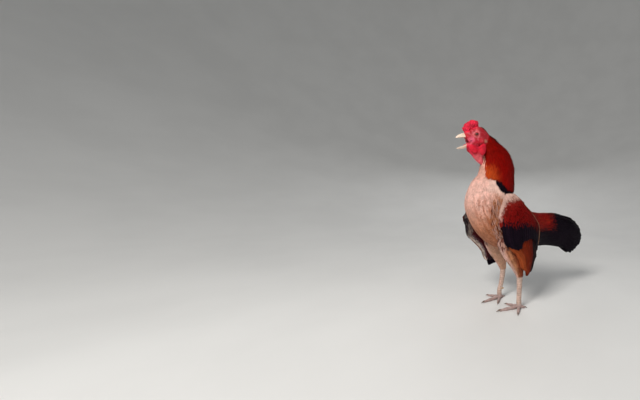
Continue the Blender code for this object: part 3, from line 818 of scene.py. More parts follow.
def feathers(name, lines, normals, half, tints, roots, section, arch, thick, edge):
    """Closed feathers as one mesh, from their centre lines and half widths in millimetres.

    lines and normals are (feather, station, 3), half is (feather, station), tints is (feather,
    station, 3), roots is each root's place on the unwrap, and edge darkens or lightens the rims.
    """
    count, stations = half.shape
    share, arched, faced = np.array(section).T
    points_round = len(share)
    along = unit(np.gradient(lines, axis=1))
    across = unit(np.cross(normals, along))
    upward = np.cross(along, across)
    taper = np.linspace(1.0, 0.45, stations)[None, :, None]
    height = half[..., None] * arch * arched + thick / 2 * taper * faced
    points = lines[:, :, None] + across[:, :, None] * (half[..., None] * share)[..., None]
    points = points + upward[:, :, None] * height[..., None]
    ring = np.arange(points_round)
    beside = np.roll(ring, -1)
    steps = np.arange(stations - 1)[:, None] * points_round
    next_ring = steps + points_round
    one = np.stack((steps + ring, next_ring + ring, next_ring + beside, steps + beside), -1)
    first = (np.arange(count) * stations * points_round)[:, None]
    quads = (first[..., None] + one.reshape(-1, 4)).reshape(-1, 4).tolist()
    root_caps = (first + ring).tolist()
    tip_caps = (first + (stations - 1) * points_round + ring[::-1]).tolist()
    mesh = bpy.data.meshes.new(name)
    mesh.from_pydata(world(points.reshape(-1, 3)).tolist(), [], quads + root_caps + tip_caps)
    piece = add_object(name, mesh)
    smooth_shade(piece, 50)
    rim = 1.0 + (edge - 1.0) * np.abs(share) ** 1.5
    set_tint(piece, (tints[:, :, None] * rim[:, None]).reshape(-1, 3))
    lengths = np.concatenate((np.zeros((count, 1)), np.cumsum(length_of(np.diff(lines, axis=1)), 1)), 1)
    vane = np.stack(np.broadcast_arrays(half[..., None] * share, lengths[..., None]), -1)
    set_map(mesh, "Vane", vane.reshape(-1, 2))
    patch = np.stack(np.broadcast_arrays(share / 2, np.linspace(-0.5, 0.5, stations)[:, None]), -1)
    set_map(mesh, "OFBake", (roots[:, None, None] + 0.003 * patch).reshape(-1, 2))
    return piece


def scatter(surface, t_span, place_span, spacing, seed):
    """Places spread evenly over a stretch of a surface, at least the spacing apart, in millimetres."""
    t, place = np.linspace(*t_span, 48), np.linspace(*place_span, 72)
    grid = surface.point(t[:, None], place[None, :])
    piece = grid_piece("guide", grid, capped=False, wrapped=False)
    t_all, place_all = np.broadcast_arrays(t[:, None], place[None, :])
    for name, values in (("t", t_all), ("place", place_all)):
        layer = piece.data.attributes.new(name, "FLOAT", "POINT")
        layer.data.foreach_set("value", values.astype(np.float32).ravel())
    group = bpy.data.node_groups.new("spread", "GeometryNodeTree")
    for direction in ("INPUT", "OUTPUT"):
        group.interface.new_socket(name="Geometry", in_out=direction, socket_type="NodeSocketGeometry")
    given, made = group.nodes.new("NodeGroupInput"), group.nodes.new("NodeGroupOutput")
    spread = fill(
        group, group.nodes.new("GeometryNodeDistributePointsOnFaces"), distribute_method="POISSON",
        Mesh=given.outputs[0], Distance_Min=spacing * MM, Density_Max=5.0 / (spacing * MM) ** 2, Seed=seed,
    )
    vertices = fill(group, group.nodes.new("GeometryNodePointsToVertices"), Points=spread.outputs[0])
    fill(group, made, Geometry=vertices.outputs[0])
    modifier = piece.modifiers.new("spread", "NODES")
    modifier.node_group = group
    graph = bpy.context.evaluated_depsgraph_get()
    mesh = piece.evaluated_get(graph).to_mesh()
    found = []
    for name in ("t", "place"):
        values = np.empty(len(mesh.vertices), np.float32)
        mesh.attributes[name].data.foreach_get("value", values)
        found.append(values.astype(float))
    piece.evaluated_get(graph).to_mesh_clear()
    bpy.data.objects.remove(piece)
    bpy.data.node_groups.remove(group)
    return found


def lay(surface, t, place, length, profile, sink, lift, swerve):
    """Centre lines and normals of feathers that lie along a surface: sunk at the root, lifted at the tip."""
    share = profile[0][None]
    ts, places = surface.run(t, place, length, profile[0], swerve)
    out = -np.asarray(sink)[..., None] * (1 - share) + np.asarray(lift)[..., None] * share
    return surface.point(ts, places, out), surface.normal(ts, places), ts, places


# Colour from each feather's root to its tip. Where a caller gives darker roots, that is painted shade under
# the feathers that overlap them.
def gradient_tint(root, tip, stations, power=1.0):
    share = np.linspace(0, 1, stations) ** power
    return root[:, None] * (1 - share)[None, :, None] + tip[:, None] * share[None, :, None]


def varied(tints, draw, amount):
    """Colours, each made a little lighter or darker, and warmer or cooler, than the next."""
    shade = 1.0 + draw.normal(0, amount, (len(tints), 1))
    return tints * shade * (1.0 + draw.normal(0, amount / 4, (len(tints), 1)) * (0, 1, 1.3))


def streaks(t, place, along, across):
    """Soft random streaks, from 0 to 1, in a surface's own two coordinates."""
    values = [noise.noise(Vector((a * along, b * across, 7.3))) for a, b in zip(t, place)]
    return ramp(np.array(values), -0.1, 0.4)


def tract(
    name, surface, roots, length, half, profile, look, tint, draw,
    sink, lift, swerve=0.0, arch=0.3, thick=0.12, edge=1.0,
):
    """One tract of feathers: from the places of its roots to a finished piece."""
    t, place = roots
    count = len(t)
    lift = lift + draw.uniform(-0.25, 0.25, count)
    swerve = swerve + draw.normal(0, 0.10, count)
    length = length * draw.uniform(0.88, 1.12, count)
    sink = np.full(count, sink) if np.isscalar(sink) else sink
    lines, normals, ts, places = lay(surface, t, place, length, profile, sink, lift, swerve)
    widths = (half * draw.uniform(0.88, 1.12, count))[:, None] * profile[1][None]
    normals = unit(normals + draw.normal(0, 0.06, (count, 1, 3)))
    piece = feathers(
        name, lines, normals, widths, tint(lines, ts, places, draw), surface.map_place(t, place),
        SMALL_SECTION, arch, thick, edge,
    )
    piece.data.materials.append(look)
    return piece


# Colours of the plumage


def body_tint(points):
    """Colour of the small feathers at points of torso and neck front, as (forward, left, up)."""
    u, _, w = points.T
    low = ramp(w + 0.35 * (95 - u), 264, 180)
    tint = mix(paint("breast"), paint("tan") * (1.15, 1.15, 1.1), 0.9 * low)
    neck = ramp(w, 288, 318)
    tint = mix(tint, paint("salmon"), 0.55 * neck)
    flank = ramp(u + 0.25 * (w - 200), 100, 66) * ramp(w, 290, 255)
    tint = mix(tint, paint("tan"), 0.85 * flank)
    belly = ramp(u + 0.4 * (w - 150), 45, 5) * ramp(w, 200, 160)
    tint = mix(tint, paint("buff"), 0.7 * belly)
    rear = ramp(u, 2, -48)
    tint = mix(tint, paint("black") * 3, rear)
    return tint


def breast_tint(lines, ts, places, draw):
    count, stations = ts.shape
    middle = lines[:, stations // 2]
    tint = varied(body_tint(middle), draw, 0.09)
    _, v, w = middle.T
    edge = np.minimum(band_edge(places[:, 0]), hackle_edge(places[:, 0]))
    fringe = ramp(edge - ts[:, 0], 0.6, 0.15) * ramp(np.abs(places[:, 0]), 128, 112)
    tint = mix(tint, paint("cream") * (1.3, 1.3, 1.3), 0.8 * fringe)
    side = ramp(np.abs(v), 14, 38) * ramp(w, 272, 240)
    side = np.maximum(side, 0.5 * ramp(w, 215, 180))
    lined = streaks(ts[:, 1], places[:, 1], 1.1, 0.24)
    tint = mix(tint, paint("tan") * (0.8, 0.55, 0.4), 0.75 * lined * side)
    chance = 0.003 + 0.12 * side
    flecked = draw.random(count) < chance
    # Plain feathers get darker roots, as painted shade under the feathers over them; flecked ones are dark at
    # the root from the fleck.
    root = np.where(flecked[:, None], mix(tint, paint("fleck"), 0.75), tint * 0.82)
    tip = np.where(flecked[:, None], mix(tint, paint("fleck"), 0.3), tint * 1.06)
    return gradient_tint(root, tip, stations, 0.8)


def hackle_tint(lines, ts, places, draw):
    u, _, w = lines[:, -1].T
    low = ramp(w, 334, 308)
    front = ramp(u, 38, 66)
    flame = mix(paint("hackle") * 1.1, paint("flame"), np.clip(front * low, 0, 1))
    upper = mix(paint("hackle"), paint("hackle") * 1.05, low)
    root = varied(mix(upper, flame, 0.35 * low), draw, 0.12)
    end = varied(mix(upper, flame, 0.95 * low * (0.35 + 0.65 * front)), draw, 0.12)
    crown = ramp(lines[:, 0, 2] + 0.6 * lines[:, 0, 0], 408, 424) * ramp(np.abs(places[:, 0]), 62, 30)
    end = mix(end, paint("black"), 0.85 * crown)
    root = mix(root, paint("black"), 0.85 * crown)
    return gradient_tint(root, end, ts.shape[1])


def saddle_tint(lines, ts, places, draw):
    count, stations = ts.shape
    middle = lines[:, stations // 2]
    lower = ramp(np.abs(places[:, 0]) + draw.normal(0, 9, count), 64, 98)
    rear = ramp(middle[:, 0] + draw.normal(0, 9, count), -92, -126)
    tint = mix(paint("saddle"), paint("black") * 1.4, np.clip(lower + 0.7 * rear, 0, 1))
    front = ramp(middle[:, 0], -42, -12)
    tint = mix(tint, paint("bow") * 0.7, 0.7 * front)
    streak = draw.random(count) < 0.22 * (1 - lower)
    tint = np.where(streak[:, None], mix(tint, paint("flame"), 0.2), tint)
    tint = varied(tint, draw, 0.22)
    # Roots far darker than the tips: painted shade under the feathers over them.
    return gradient_tint(tint * 0.42, tint * 0.85, stations, 0.7)


def plain_tint(name, root=0.8, tip=1.1, spread=0.1, scale=1.0):
    """A tint function for feathers of one named colour."""

    def tint(lines, ts, places, draw):
        tints = varied(np.tile(paint(name) * scale, (len(ts), 1)), draw, spread)
        # By default the roots are darker than the tips: painted shade under the feathers over them.
        return gradient_tint(tints * root, tints * tip, ts.shape[1], 0.8)

    return tint


def thigh_tint(side):
    def tint(lines, ts, places, draw):
        t, angle = ts[:, 1], places[:, 1]
        outer = ramp(angle, 18, 50) * ramp(angle, 180, 150)
        rust = mix(paint("tan") * (1.15, 1.25, 1.2), paint("bay") * (1.5, 1.9, 2.3), ramp(angle, 48, 92))
        tints = mix(paint("breast") * 0.9, rust, outer)
        low = ramp(t, 3.4, 4.6)
        tints = mix(tints, paint("tan") * 0.8, 0.5 * low * outer)
        lined = streaks(t + 9 * (side == 1), angle, 0.9, 0.13)
        tints = mix(tints, paint("fleck"), 0.6 * lined * outer)
        high = ramp(t, 1.5, 0.7) * ramp(angle, -10, 25) * ramp(angle, 180, 150)
        tints = mix(tints, paint("bow") * (0.5, 1.0, 1.0), high * (0.35 + 0.65 * lined))
        inner = ramp(-np.sin(np.radians(angle)), -0.05, 0.6)
        tints = mix(tints, paint("buff"), 0.7 * inner)
        tints = varied(tints, draw, 0.1)
        # Darker roots: painted shade under the feathers over them.
        return gradient_tint(tints * 0.78, tints, ts.shape[1], 0.8)

    return tint


def covert_tint(lines, ts, places, draw):
    """Cream on the shoulder, mahogany on the bow, blue black on the bar."""
    t, place = ts[:, -1], places[:, -1]
    cream_edge = np.interp(place, (-1.1, -0.52, 0.42, 0.78, 1.0), (1.2, 1.3, 1.8, 2.7, 3.5))
    loose = t + draw.normal(0, 0.08, len(t))
    cream = ramp(loose, cream_edge + 0.2, cream_edge - 0.5)
    rusty = ramp(loose, cream_edge + 1.2, cream_edge - 0.1)
    bar_edge = np.interp(place, (-1.0, 0.0, 0.5, 1.0), (4.75, 4.55, 4.1, 3.9))
    bar = ramp(t + draw.normal(0, 0.14, len(t)), bar_edge - 0.1, bar_edge + 0.1)
    brown = ramp(t, 1.6, 0.6) * ramp(place, 0.2, -0.3)
    pale = paint("cream") * (0.9, 0.85, 0.85)
    tint = mix(paint("bow"), paint("bow") * 0.35, ramp(t, 3.4, 4.4))
    tint = mix(tint, paint("fleck") * 1.3, 0.6 * brown)
    tint = mix(tint, paint("bow") * (1.3, 4.0, 3.0), 0.8 * rusty)
    tint = mix(tint, pale, cream)
    lined = streaks(t, place, 0.8, 9.0) * cream * ramp(place, 0.75, 0.2)
    tint = mix(tint, paint("fleck") * 1.5, 0.75 * lined)
    tint = mix(tint, paint("black"), bar)
    dark = draw.random(len(t)) < 0.12 * (1 - cream)
    tint = np.where(dark[:, None], tint * 0.6, tint)
    tint = varied(tint, draw, 0.06) * (1 + draw.normal(0, 0.12, len(t)) * (1 - cream))[:, None]
    # Darker roots, less so on the cream shoulder: painted shade under the feathers over them.
    root = tint * (0.74 + 0.14 * cream)[:, None]
    return gradient_tint(root, tint, ts.shape[1], 0.8)


# Flesh


def ellipsoid_distance(points, centre, radii, pitch=0.0):
    """About how far points lie outside an ellipsoid, less than zero inside it."""
    local = (points - np.array(centre)) @ turned(pitch).T
    radii = np.array(radii, float)
    near = length_of(local / radii)
    slope = length_of(local / radii**2)
    return near * (near - 1.0) / np.maximum(slope, 1e-6)


def soft_union(first, second, softness):
    if softness <= 0:
        return np.minimum(first, second)
    share = np.clip(0.5 + 0.5 * (second - first) / softness, 0, 1)
    return second * (1 - share) + first * share - softness * share * (1 - share)


def soft_cut(first, second, softness):
    """What is left of the first form where the second one is cut away."""
    return -soft_union(-first, second, softness)


def comb_lobes():
    """Centres and radii of the small lobes that crowd the comb's cushion."""
    draw = np.random.default_rng(SEED)
    count = sizes().comb_lobes
    axes = turned(-COMB_TILT)
    lobes = []
    for i in range(count):
        height = 1 - 1.62 * (i + 0.5) / count
        around = math.pi * (3 - math.sqrt(5)) * i
        ring = math.sqrt(1 - height**2)
        spot = np.array((ring * math.cos(around), ring * math.sin(around), height)) * COMB_RADII
        spot = spot * draw.uniform(0.86, 0.98)
        lobes.append((np.array(COMB) + spot @ axes, draw.uniform(1.6, 2.8)))
    return lobes


def lid_field(points, field, side):
    """Closes skin over one eye, with swollen rims, folds round it, and the opening between the lids."""
    eye = np.array((EYE[0], side * EYE[1], EYE[2]))
    offset = points - eye
    out = offset[:, 1] * side
    round_eye = np.hypot(offset[:, 0], offset[:, 2] / 0.86)
    field = soft_union(field, length_of(offset) - (EYE_RADIUS + 0.75), 1.8)
    rim = np.hypot(round_eye - 4.5, out - 2.6) - (0.75 + 0.35 * ramp(offset[:, 2], -1, 3))
    field = soft_union(field, rim, 0.7)
    folds = np.sin((round_eye - 5.9) * math.tau / 2.3) * np.exp(-(((round_eye - 8.2) / 3.2) ** 2))
    field = field - 0.28 * folds * ramp(out, -4.0, 0.0)
    opening = (np.hypot(offset[:, 0] / 3.5, (offset[:, 2] + 0.1) / 2.6) - 1.0) * 2.6
    opening = np.maximum(opening, -1.0 - out)
    return soft_cut(field, opening, 0.4)


def flesh_forms():
    """Centre, radii, pitch and softness of each soft form of the head, on both sides where it has two."""
    for (forward, left, up), *form in FLESH:
        for side in (1, -1) if left else (1,):
            yield (forward, side * left, up), *form


def head_field(points):
    """The flesh of the head as a field that is zero on its surface."""
    field = None
    for middle, radii, pitch, softness in flesh_forms():
        here = ellipsoid_distance(points, middle, radii, pitch)
        field = here if field is None else soft_union(field, here, softness)
    comb = ellipsoid_distance(points, COMB, np.array(COMB_RADII) * 0.93, -COMB_TILT)
    field = soft_union(field, comb, 2.0)
    near = comb < 7.0
    some = field[near]
    for centre, radius in comb_lobes():
        some = soft_union(some, length_of(points[near] - centre) - radius, 0.7)
    field[near] = some
    for side in (1, -1):
        field = lid_field(points, field, side)
    return soft_cut(field, ellipsoid_distance(points, *MOUTH), 0.8)


def settle(piece, field, rounds, most):
    """Moves each point of a piece onto the surface where the field is zero."""
    points = on_bird(vertex_points(piece))
    reach = 0.15
    for _ in range(rounds):
        value = field(points)
        slope = np.stack([field(points + reach * axis) - value for axis in np.eye(3)], -1) / reach
        steep = np.maximum(np.sum(slope**2, -1), 0.3)
        points = points - slope * (np.clip(value, -most, most) / steep)[:, None]
    set_points(piece, world(points))


def wrinkle(piece, amount):
    """Raises small pimples and soft creases on the bare skin."""
    points = on_bird(vertex_points(piece))
    normals = vectors_of(piece.data.vertices, "normal")
    depths = np.empty(len(points))
    for i, (u, v, w) in enumerate(points):
        creases = noise.turbulence(Vector((u * 0.22, v * 0.22, w * 0.32)), 3, True)
        pimples = noise.voronoi(Vector((u, v, w)) * 0.62)[0][0]
        depths[i] = 0.55 * (0.5 - creases) + 0.5 * (0.45 - pimples)
    away = 1.0 - np.exp(-((length_of((points - EYE) * (1, 0, 1)) / 6.5) ** 4))
    set_points(piece, vertex_points(piece) + normals * (depths * amount * away * MM)[:, None])


def head_flesh():
    grain = sizes().skin_grain
    pieces = [ball("flesh", middle, radii, pitch) for middle, radii, pitch, _ in flesh_forms()]
    pieces.append(ball("flesh", COMB, np.array(COMB_RADII) * 1.1, -COMB_TILT))
    head = joined(pieces, "head_flesh")
    remesh(head, grain * 1.4, 0)
    combine(head, ball("mouth", *MOUTH), "DIFFERENCE")
    remesh(head, grain * 1.4, 0)
    settle(head, head_field, 5, 1.5)
    remesh(head, grain, 0)
    settle(head, head_field, 5, 0.6)
    wrinkle(head, 0.9)
    return head


def body_flesh():
    """The body under its feathers: tail root, torso, neck, thighs and wings in one."""
    deep = sizes().coat_depth / MM
    t = np.linspace(3.2, 17.6, 60)[:, None]
    angle = np.linspace(0, 360, 48, endpoint=False)[None]
    over_back = np.clip(np.cos(np.radians(angle)) + 0.45, 0, 1)
    saddle, hackle = ramp(t, 9.4, 7.6), ramp(t, 12.2, 13.4)
    inset = deep + 2.6 * np.maximum(saddle, hackle) * over_back + 1.5 * ramp(t, 5.5, 4.0)
    pieces = [grid_piece("flesh", body_point(t, angle, -inset))]
    for _, side in SIDES:
        rows = [(row[0], side * row[1], row[2], row[3] - deep, row[4] - deep) for row in THIGH]
        pieces.append(grid_piece("flesh", tube_grid(rows, 30, 30, up=(1.0, 0.0, 0.0))))
        t_wing = np.linspace(0.5, 8.0, 30)[:, None]
        around = math.tau * np.arange(28) / 28
        inner = np.sin(around) < 0
        place = np.cos(around)[None] * 0.80
        faces = [wing_point(side, t_wing, place, -1.6, inside) for inside in (False, True)]
        pieces.append(grid_piece("flesh", np.where(inner[None, :, None], faces[1], faces[0])))
        ahead = 34.0 + of_side(WING_FORWARD, side) * 0.2
        pieces.append(ball("flesh", (ahead, side * 45.0, 243), (14, 13, 15)))
    body = joined(pieces, "body_flesh")
    return remesh(body, 0.0024, 3)


# Legs


def saw(value):
    return value - np.floor(value)


def scute_swell(pitch, step, back_pitch):
    """Raised plates: two rows of large ones down the front, rows of small ones behind."""

    def swell(run, angle):
        facing = np.cos(angle)
        row = np.where(np.sin(angle) > 0, 0.5, 0.0)
        front = saw(run / pitch + row) ** 1.5
        split = np.exp(-((np.sin(angle) / 0.10) ** 2)) * (facing > 0)
        column = np.floor(angle / math.tau * 14)
        behind = saw(run / back_pitch + 0.5 * (column % 2)) * np.abs(np.sin(angle * 7)) ** 0.5
        share = ramp(facing, -0.05, 0.25)
        return 1.0 + step * (share * (front - 0.8 * split) + (1 - share) * 0.6 * behind) - 0.35 * step

    return swell


def toe_swell(pitch, step, joints):
    """Broad plates over the top of a toe, small scales at its sides, and pads below."""

    def swell(run, angle):
        facing = np.cos(angle)
        plate = saw(run / pitch) ** 1.5
        column = np.floor(angle / math.tau * 12)
        scales = saw(run / (0.5 * pitch) + 0.5 * (column % 2)) * np.abs(np.sin(angle * 6)) ** 0.5
        over = ramp(facing, 0.15, 0.45)
        pads = 0.09 * np.cos(run / joints * math.tau) * ramp(-facing, 0.1, 0.7)
        knuckle = 0.05 * np.cos(run / joints * math.tau)
        return 1.0 + step * (over * plate + (1 - over) * 0.5 * scales) - 0.3 * step + pads + knuckle

    return swell


def toe_line(side, direction, start, end, heights):
    """Points out along the floor from the ball of the foot, in a direction given in degrees."""
    turn = math.radians(direction)
    ahead = np.array((math.cos(turn), side * math.sin(turn), 0.0))
    forward, out = of_side(FEET, side)
    reach = np.linspace(start, end, len(heights))
    return [np.array((forward, side * out, 0.0)) + ahead * r + (0.0, 0.0, h) for r, h in zip(reach, heights)]


def leg_flesh(side):
    """One shank with its foot: scuted tubes fused over the ball of the foot."""
    ahead, out = of_side(FEET, side)
    rows = (
        (-4.5, side * STANCE, SHANK_TOP, 7.6, 6.8),
        (-4.5, side * STANCE, HOCK_HEIGHT - 10, 6.8, 6.0),
        (0.5 * (ahead - 4.5), side * STANCE, 0.5 * HOCK_HEIGHT, 5.9, 5.1),
        (ahead, side * out, 22, 5.8, 5.1),
        (ahead, side * out, 7, 6.2, 5.8),
    )
    swell = scute_swell(SCUTE_PITCH, 0.10, 0.5 * SCUTE_PITCH)
    leg = grid_piece("leg_flesh", tube_grid(rows, 140, 44, up=(1.0, 0.0, 0.0), swell=swell))
    middle = (ahead, side * out, FOOT_BALL_RADIUS - 0.5)
    combine(leg, ball("ball", middle, (FOOT_BALL_RADIUS,) * 3, segments=40, rings=24), "UNION")
    for name, directions, length, _, radius in TOES:
        direction = of_side(directions, side)
        sizes_along = (1.08, 1.0, 0.92, 0.88, 0.74, 0.58)
        lifts = (7.0, 4.0, 1.5, 0.3, 0.0, 0.0) if name == "hind" else (2.5, 1.0, 0.0, 0.0, 0.0, 0.0)
        heights = [radius * size + lift - 0.5 for size, lift in zip(sizes_along, lifts)]
        line = toe_line(side, direction, 1.0, length + 1.0, heights)
        rows = [(*p, radius * s, radius * s) for p, s in zip(line, sizes_along)]
        swell = toe_swell(3.1, 0.17, length / 3.0)
        toe = grid_piece("toe", tube_grid(rows, int(length * 2.0), 28, swell=swell))
        combine(leg, toe, "UNION")
    keep_above_floor(leg)
    return leg


# Colours of the skin


def face_tint(points):
    """Colours of the bare head at points given as (forward, left, up)."""
    draw = np.random.default_rng(SEED + 1)
    side = np.abs(points[:, 1])
    tint = np.tile(paint("face"), (len(points), 1))
    folded = np.stack((points[:, 0], side, points[:, 2]), -1)
    eye = length_of(folded - EYE)
    tint = mix(tint, paint("orbit"), 0.9 * ramp(eye, 13.0, 7.0) * ramp(points[:, 2], 385, 394))
    tint = mix(tint, paint("orbit") * (0.95, 0.6, 0.7), 0.6 * ramp(eye, 11.0, 6.0))
    blotch = np.array([noise.noise(Vector(p) * 0.2) for p in folded])
    tint = mix(tint, paint("orbit") * (1.0, 0.75, 0.95), 0.55 * ramp(blotch, 0.0, 0.4))
    tint = mix(tint, paint("comb") * (0.6, 1.0, 0.7), 0.7 * ramp(blotch, 0.0, -0.4))
    cheek = length_of((points - (102, 0, 381)) * (1, 0, 1))
    tint = mix(tint, paint("throat") * (1.1, 1.0, 1.5), 0.6 * ramp(cheek, 9.0, 4.0))
    lower = ramp(points[:, 2], 374, 368) * ramp(points[:, 2], 338, 350)
    tint = mix(tint, paint("comb") * (0.85, 1.5, 1.0), 0.85 * lower)
    throat = ramp(points[:, 2] + 0.55 * (points[:, 0] - 88) + 8 * blotch, 360, 342)
    tint = mix(tint, paint("throat") * 1.15, 0.85 * throat)
    back = ramp(points[:, 0] - 0.25 * (points[:, 2] - 380), 86, 74)
    tint = mix(tint, paint("comb") * (0.4, 1.5, 0.3), 0.9 * back)
    for centre, radii, pitch, _ in LAPPETS:
        near = ellipsoid_distance(folded, centre, radii, pitch)
        tint = mix(tint, paint("comb") * (0.72, 0.6, 0.55), ramp(near, 1.8, 0.2))
    comb = ellipsoid_distance(points, COMB, COMB_RADII, -COMB_TILT)
    # The comb is painted darker and bluer in the crevices between its lobes and lighter on their tops:
    # painted shade and painted highlight.
    raised = ramp(comb, -0.9, 1.5)
    comb_shade_and_highlight = mix(paint("comb") * (0.42, 1.0, 0.5), paint("comb") + (0.04, 0.012, 0.02), raised)
    tint = mix(tint, comb_shade_and_highlight, ramp(comb, 4.5, 2.6))
    # A dark purple spot at the corner of the mouth: painted shade in the notch of the gape.
    corner = length_of((points - (103.0, 0, 378.5)) * (1, 0, 1.2))
    tint = mix(tint, paint("mouth") * (0.3, 0.3, 0.9), 0.7 * ramp(corner, 2.8, 1.0))
    ear = length_of(folded - (72.0, 16.0, 379.5))
    tint = mix(tint, paint("salmon"), 0.7 * ramp(ear, 5.2, 3.0))
    inside = ellipsoid_distance(points, *MOUTH)
    tint = mix(tint, paint("mouth"), ramp(inside, 0.9, 0.2) * ramp(side, 6.4, 5.0))
    # The lids round the eye's opening are painted darker: painted shade round the eye.
    lids = ramp(eye, 6.6, 5.6)
    tint = mix(tint, paint("orbit") * (0.55, 0.28, 0.3), 0.75 * lids)
    tint = mix(tint, paint("orbit") * (1.1, 1.3, 1.2), 0.7 * ramp(np.abs(eye - 7.0), 0.8, 0.3))
    return tint * draw.normal(1.0, 0.02, len(points))[:, None]


def leg_tint(points):
    pink = 0.35 * ramp(points[:, 2], 22, 4) + 0.12
    tint = mix(paint("scale"), paint("scale_pink"), pink)
    for _, side in SIDES:
        ahead, _ = of_side(FEET, side)
        axis = np.interp(points[:, 2], (22, 0.5 * HOCK_HEIGHT, 64), (ahead, 0.5 * (ahead - 4.5), -4.5))
        turn = np.arctan2(points[:, 1] - side * STANCE, points[:, 0] - axis)
        front = ramp(np.cos(turn), -0.05, 0.25)
        phase = saw((SHANK_TOP - points[:, 2]) / SCUTE_PITCH + np.where(np.sin(turn) > 0, 0.5, 0.0))
        seam = np.maximum(ramp(phase, 0.16, 0.02), ramp(phase, 0.94, 1.0)) * front
        seam = np.maximum(seam, front * ramp(np.abs(np.sin(turn)), 0.12, 0.03))
        here = (points[:, 1] * side > 0) & (points[:, 2] > 14)
        tint = mix(tint, paint("scale_pink") * 0.6, 0.6 * seam * here)
    return tint * mix(np.ones(3), np.array((0.78, 0.84, 0.95)), ramp(points[:, 2], 16, 8))


def skin_under_coat(points):
    """Colour of the skin under the feathers: theirs, made darker as painted shade deep in the coat."""
    u, v, w = points.T
    tint = body_tint(points) * 0.75
    neck = ramp(u, 66, 50) * ramp(w, 285, 300)
    tint = mix(tint, paint("hackle") * 0.6, neck)
    back = ramp(w + 0.15 * u, 216, 232) * ramp(u, 20, 4)
    tint = mix(tint, paint("saddle") * 0.4, back)
    tail = ramp(u, -40, -70)
    tint = mix(tint, paint("black") * 1.5, tail)
    wing = (np.abs(v) > 50) * ramp(w, 262, 250)
    return mix(tint, mix(paint("bow") * 0.5, paint("cream") * 0.5, ramp(w, 228, 242)), wing)


def on_head(points, depth=1.3):
    """True at points that the flesh of the head covers, or that lie nearer to it than the depth."""
    high = points[:, 2] > 315
    found = np.zeros(len(points), bool)
    found[high] = head_field(points[high]) < depth
    return found


def make_skin():
    """One skin for all the flesh: bare on the head and legs, and under the coat elsewhere."""
    skin = body_flesh()
    combine(skin, head_flesh(), "UNION")
    for _, side in SIDES:
        combine(skin, leg_flesh(side), "UNION")
    skin.name = skin.data.name = "skin"
    points = on_bird(vertex_points(skin))
    head = on_head(points)
    leg = points[:, 2] < BARE_TOP
    tint = skin_under_coat(points)
    tint[head] = face_tint(points[head])
    tint[leg] = leg_tint(points[leg])
    set_tint(skin, tint)
    looks = (
        feather_skin_material(),
        looks_bare(),
        # The first colour is the painted shade in the creases of the leg skin.
        skin_material("scaly_skin", (0.50, 0.26, 0.19), 1100.0, 160.0, 0.45, 0.10, 0.0001, 0.10),
    )
    skin.data.materials.clear()
    for look in looks:
        skin.data.materials.append(look)
    centres = on_bird(vectors_of(skin.data.polygons, "center"))
    index = np.zeros(len(centres), np.int32)
    index[on_head(centres)] = 1
    index[centres[:, 2] < BARE_TOP] = 2
    skin.data.polygons.foreach_set("material_index", index)
    skin.data.shade_smooth()
    nodes = ["head", "comb", "dewlap", "neck", "torso", "tail"]
    for name, _ in SIDES:
        nodes += [f"{part}_{name}" for part in ("wattle", "earlobe", "wing", "thigh", "shank")]
        nodes += [f"toe_{name}_{toe}" for toe, *_ in TOES]
    return keep(skin, "bare_skin", *nodes)


def looks_bare():
    # The first colour is the painted shade in the creases of the bare skin.
    return skin_material("live_skin", (0.30, 0.008, 0.015), 900.0, 110.0, 0.42, 0.40, 0.0003, 0.18)


def feather_skin_material():
    """The skin under the coat, with a downy grain."""
    made, tree, shader = new_material("down")
    fluff = clouds(tree, Scale=420.0, Detail=4.0)
    shade = span(tree, fluff, 0.3, 0.7, 0.7, 1.2)
    fill(tree, shader, Base_Color=scaled(tree, point_tint(tree), shade), Roughness=0.9)
    bumped(tree, shader, fluff, 0.0008)
    return made


# Bill, tongue, eyes and claws


def bill_shell(name, base, tip, depth, width, droop, upper):
    """Half of the bill: a ridged horn shell, hollow towards the mouth, ending in a hooked tip."""
    base, tip = np.array(base, float), np.array(tip, float)
    run = np.linspace(0, 1, 44)
    face = 1.0 if upper else -1.0
    centre = base + (tip - base) * run[:, None]
    centre[:, 2] += droop * np.sin(math.pi * run) - (1.2 * run**5 if upper else 0.0)
    taper = np.sqrt(np.clip(1.0 - run**1.7, 0.004, 1.0))
    half_turn = np.linspace(-math.pi / 2, math.pi / 2, 21)
    outer_side, outer_rise = np.sin(half_turn), np.cos(half_turn)
    ridge = 1.0 + 0.10 * np.exp(-((half_turn / 0.35) ** 2))
    outer = np.stack((outer_side, outer_rise * ridge), -1)
    inner = np.stack((outer_side[::-1] * 0.84, outer_rise[::-1] * 0.55 - 0.02), -1)
    section = np.concatenate((outer, inner))
    grid = np.empty((len(run), len(section), 3))
    grid[..., 0] = centre[:, None, 0]
    grid[..., 1] = section[None, :, 0] * (width * taper)[:, None]
    grid[..., 2] = centre[:, None, 2] + face * (section[None, :, 1] * 1.75 - 0.75) * (depth * taper)[:, None]
    return grid_piece(name, grid)


def make_bill():
    """Upper and lower bill with nostrils, and the tongue between them."""
    for name, node, base, tip, depth, width, droop, root in BILL:
        upper = node == "beak_upper"
        piece = bill_shell(name, base, tip, depth, width, droop, upper)
        for _, side in SIDES if upper else ():
            combine(piece, ball("nostril", (118.5, side * 3.7, 391.2), (2.8, 1.4, 0.9), -8), "DIFFERENCE")
        points = on_bird(vertex_points(piece))
        ridge = points[:, 2] - (390.0 - 0.17 * (points[:, 0] - 106))
        dark = 0.55 * ramp(points[:, 0], root + 9.0, root) + 0.18 * ramp(ridge, 2.0, 5.5) * upper
        set_tint(piece, mix(np.tile(paint("horn"), (len(points), 1)), paint("horn_dark"), dark))
        piece.data.materials.append(horn_material("bill_horn", 0.16, 0.30))
        smooth_shade(piece, 42)
        keep(piece, "horn", node)
    make_tongue()


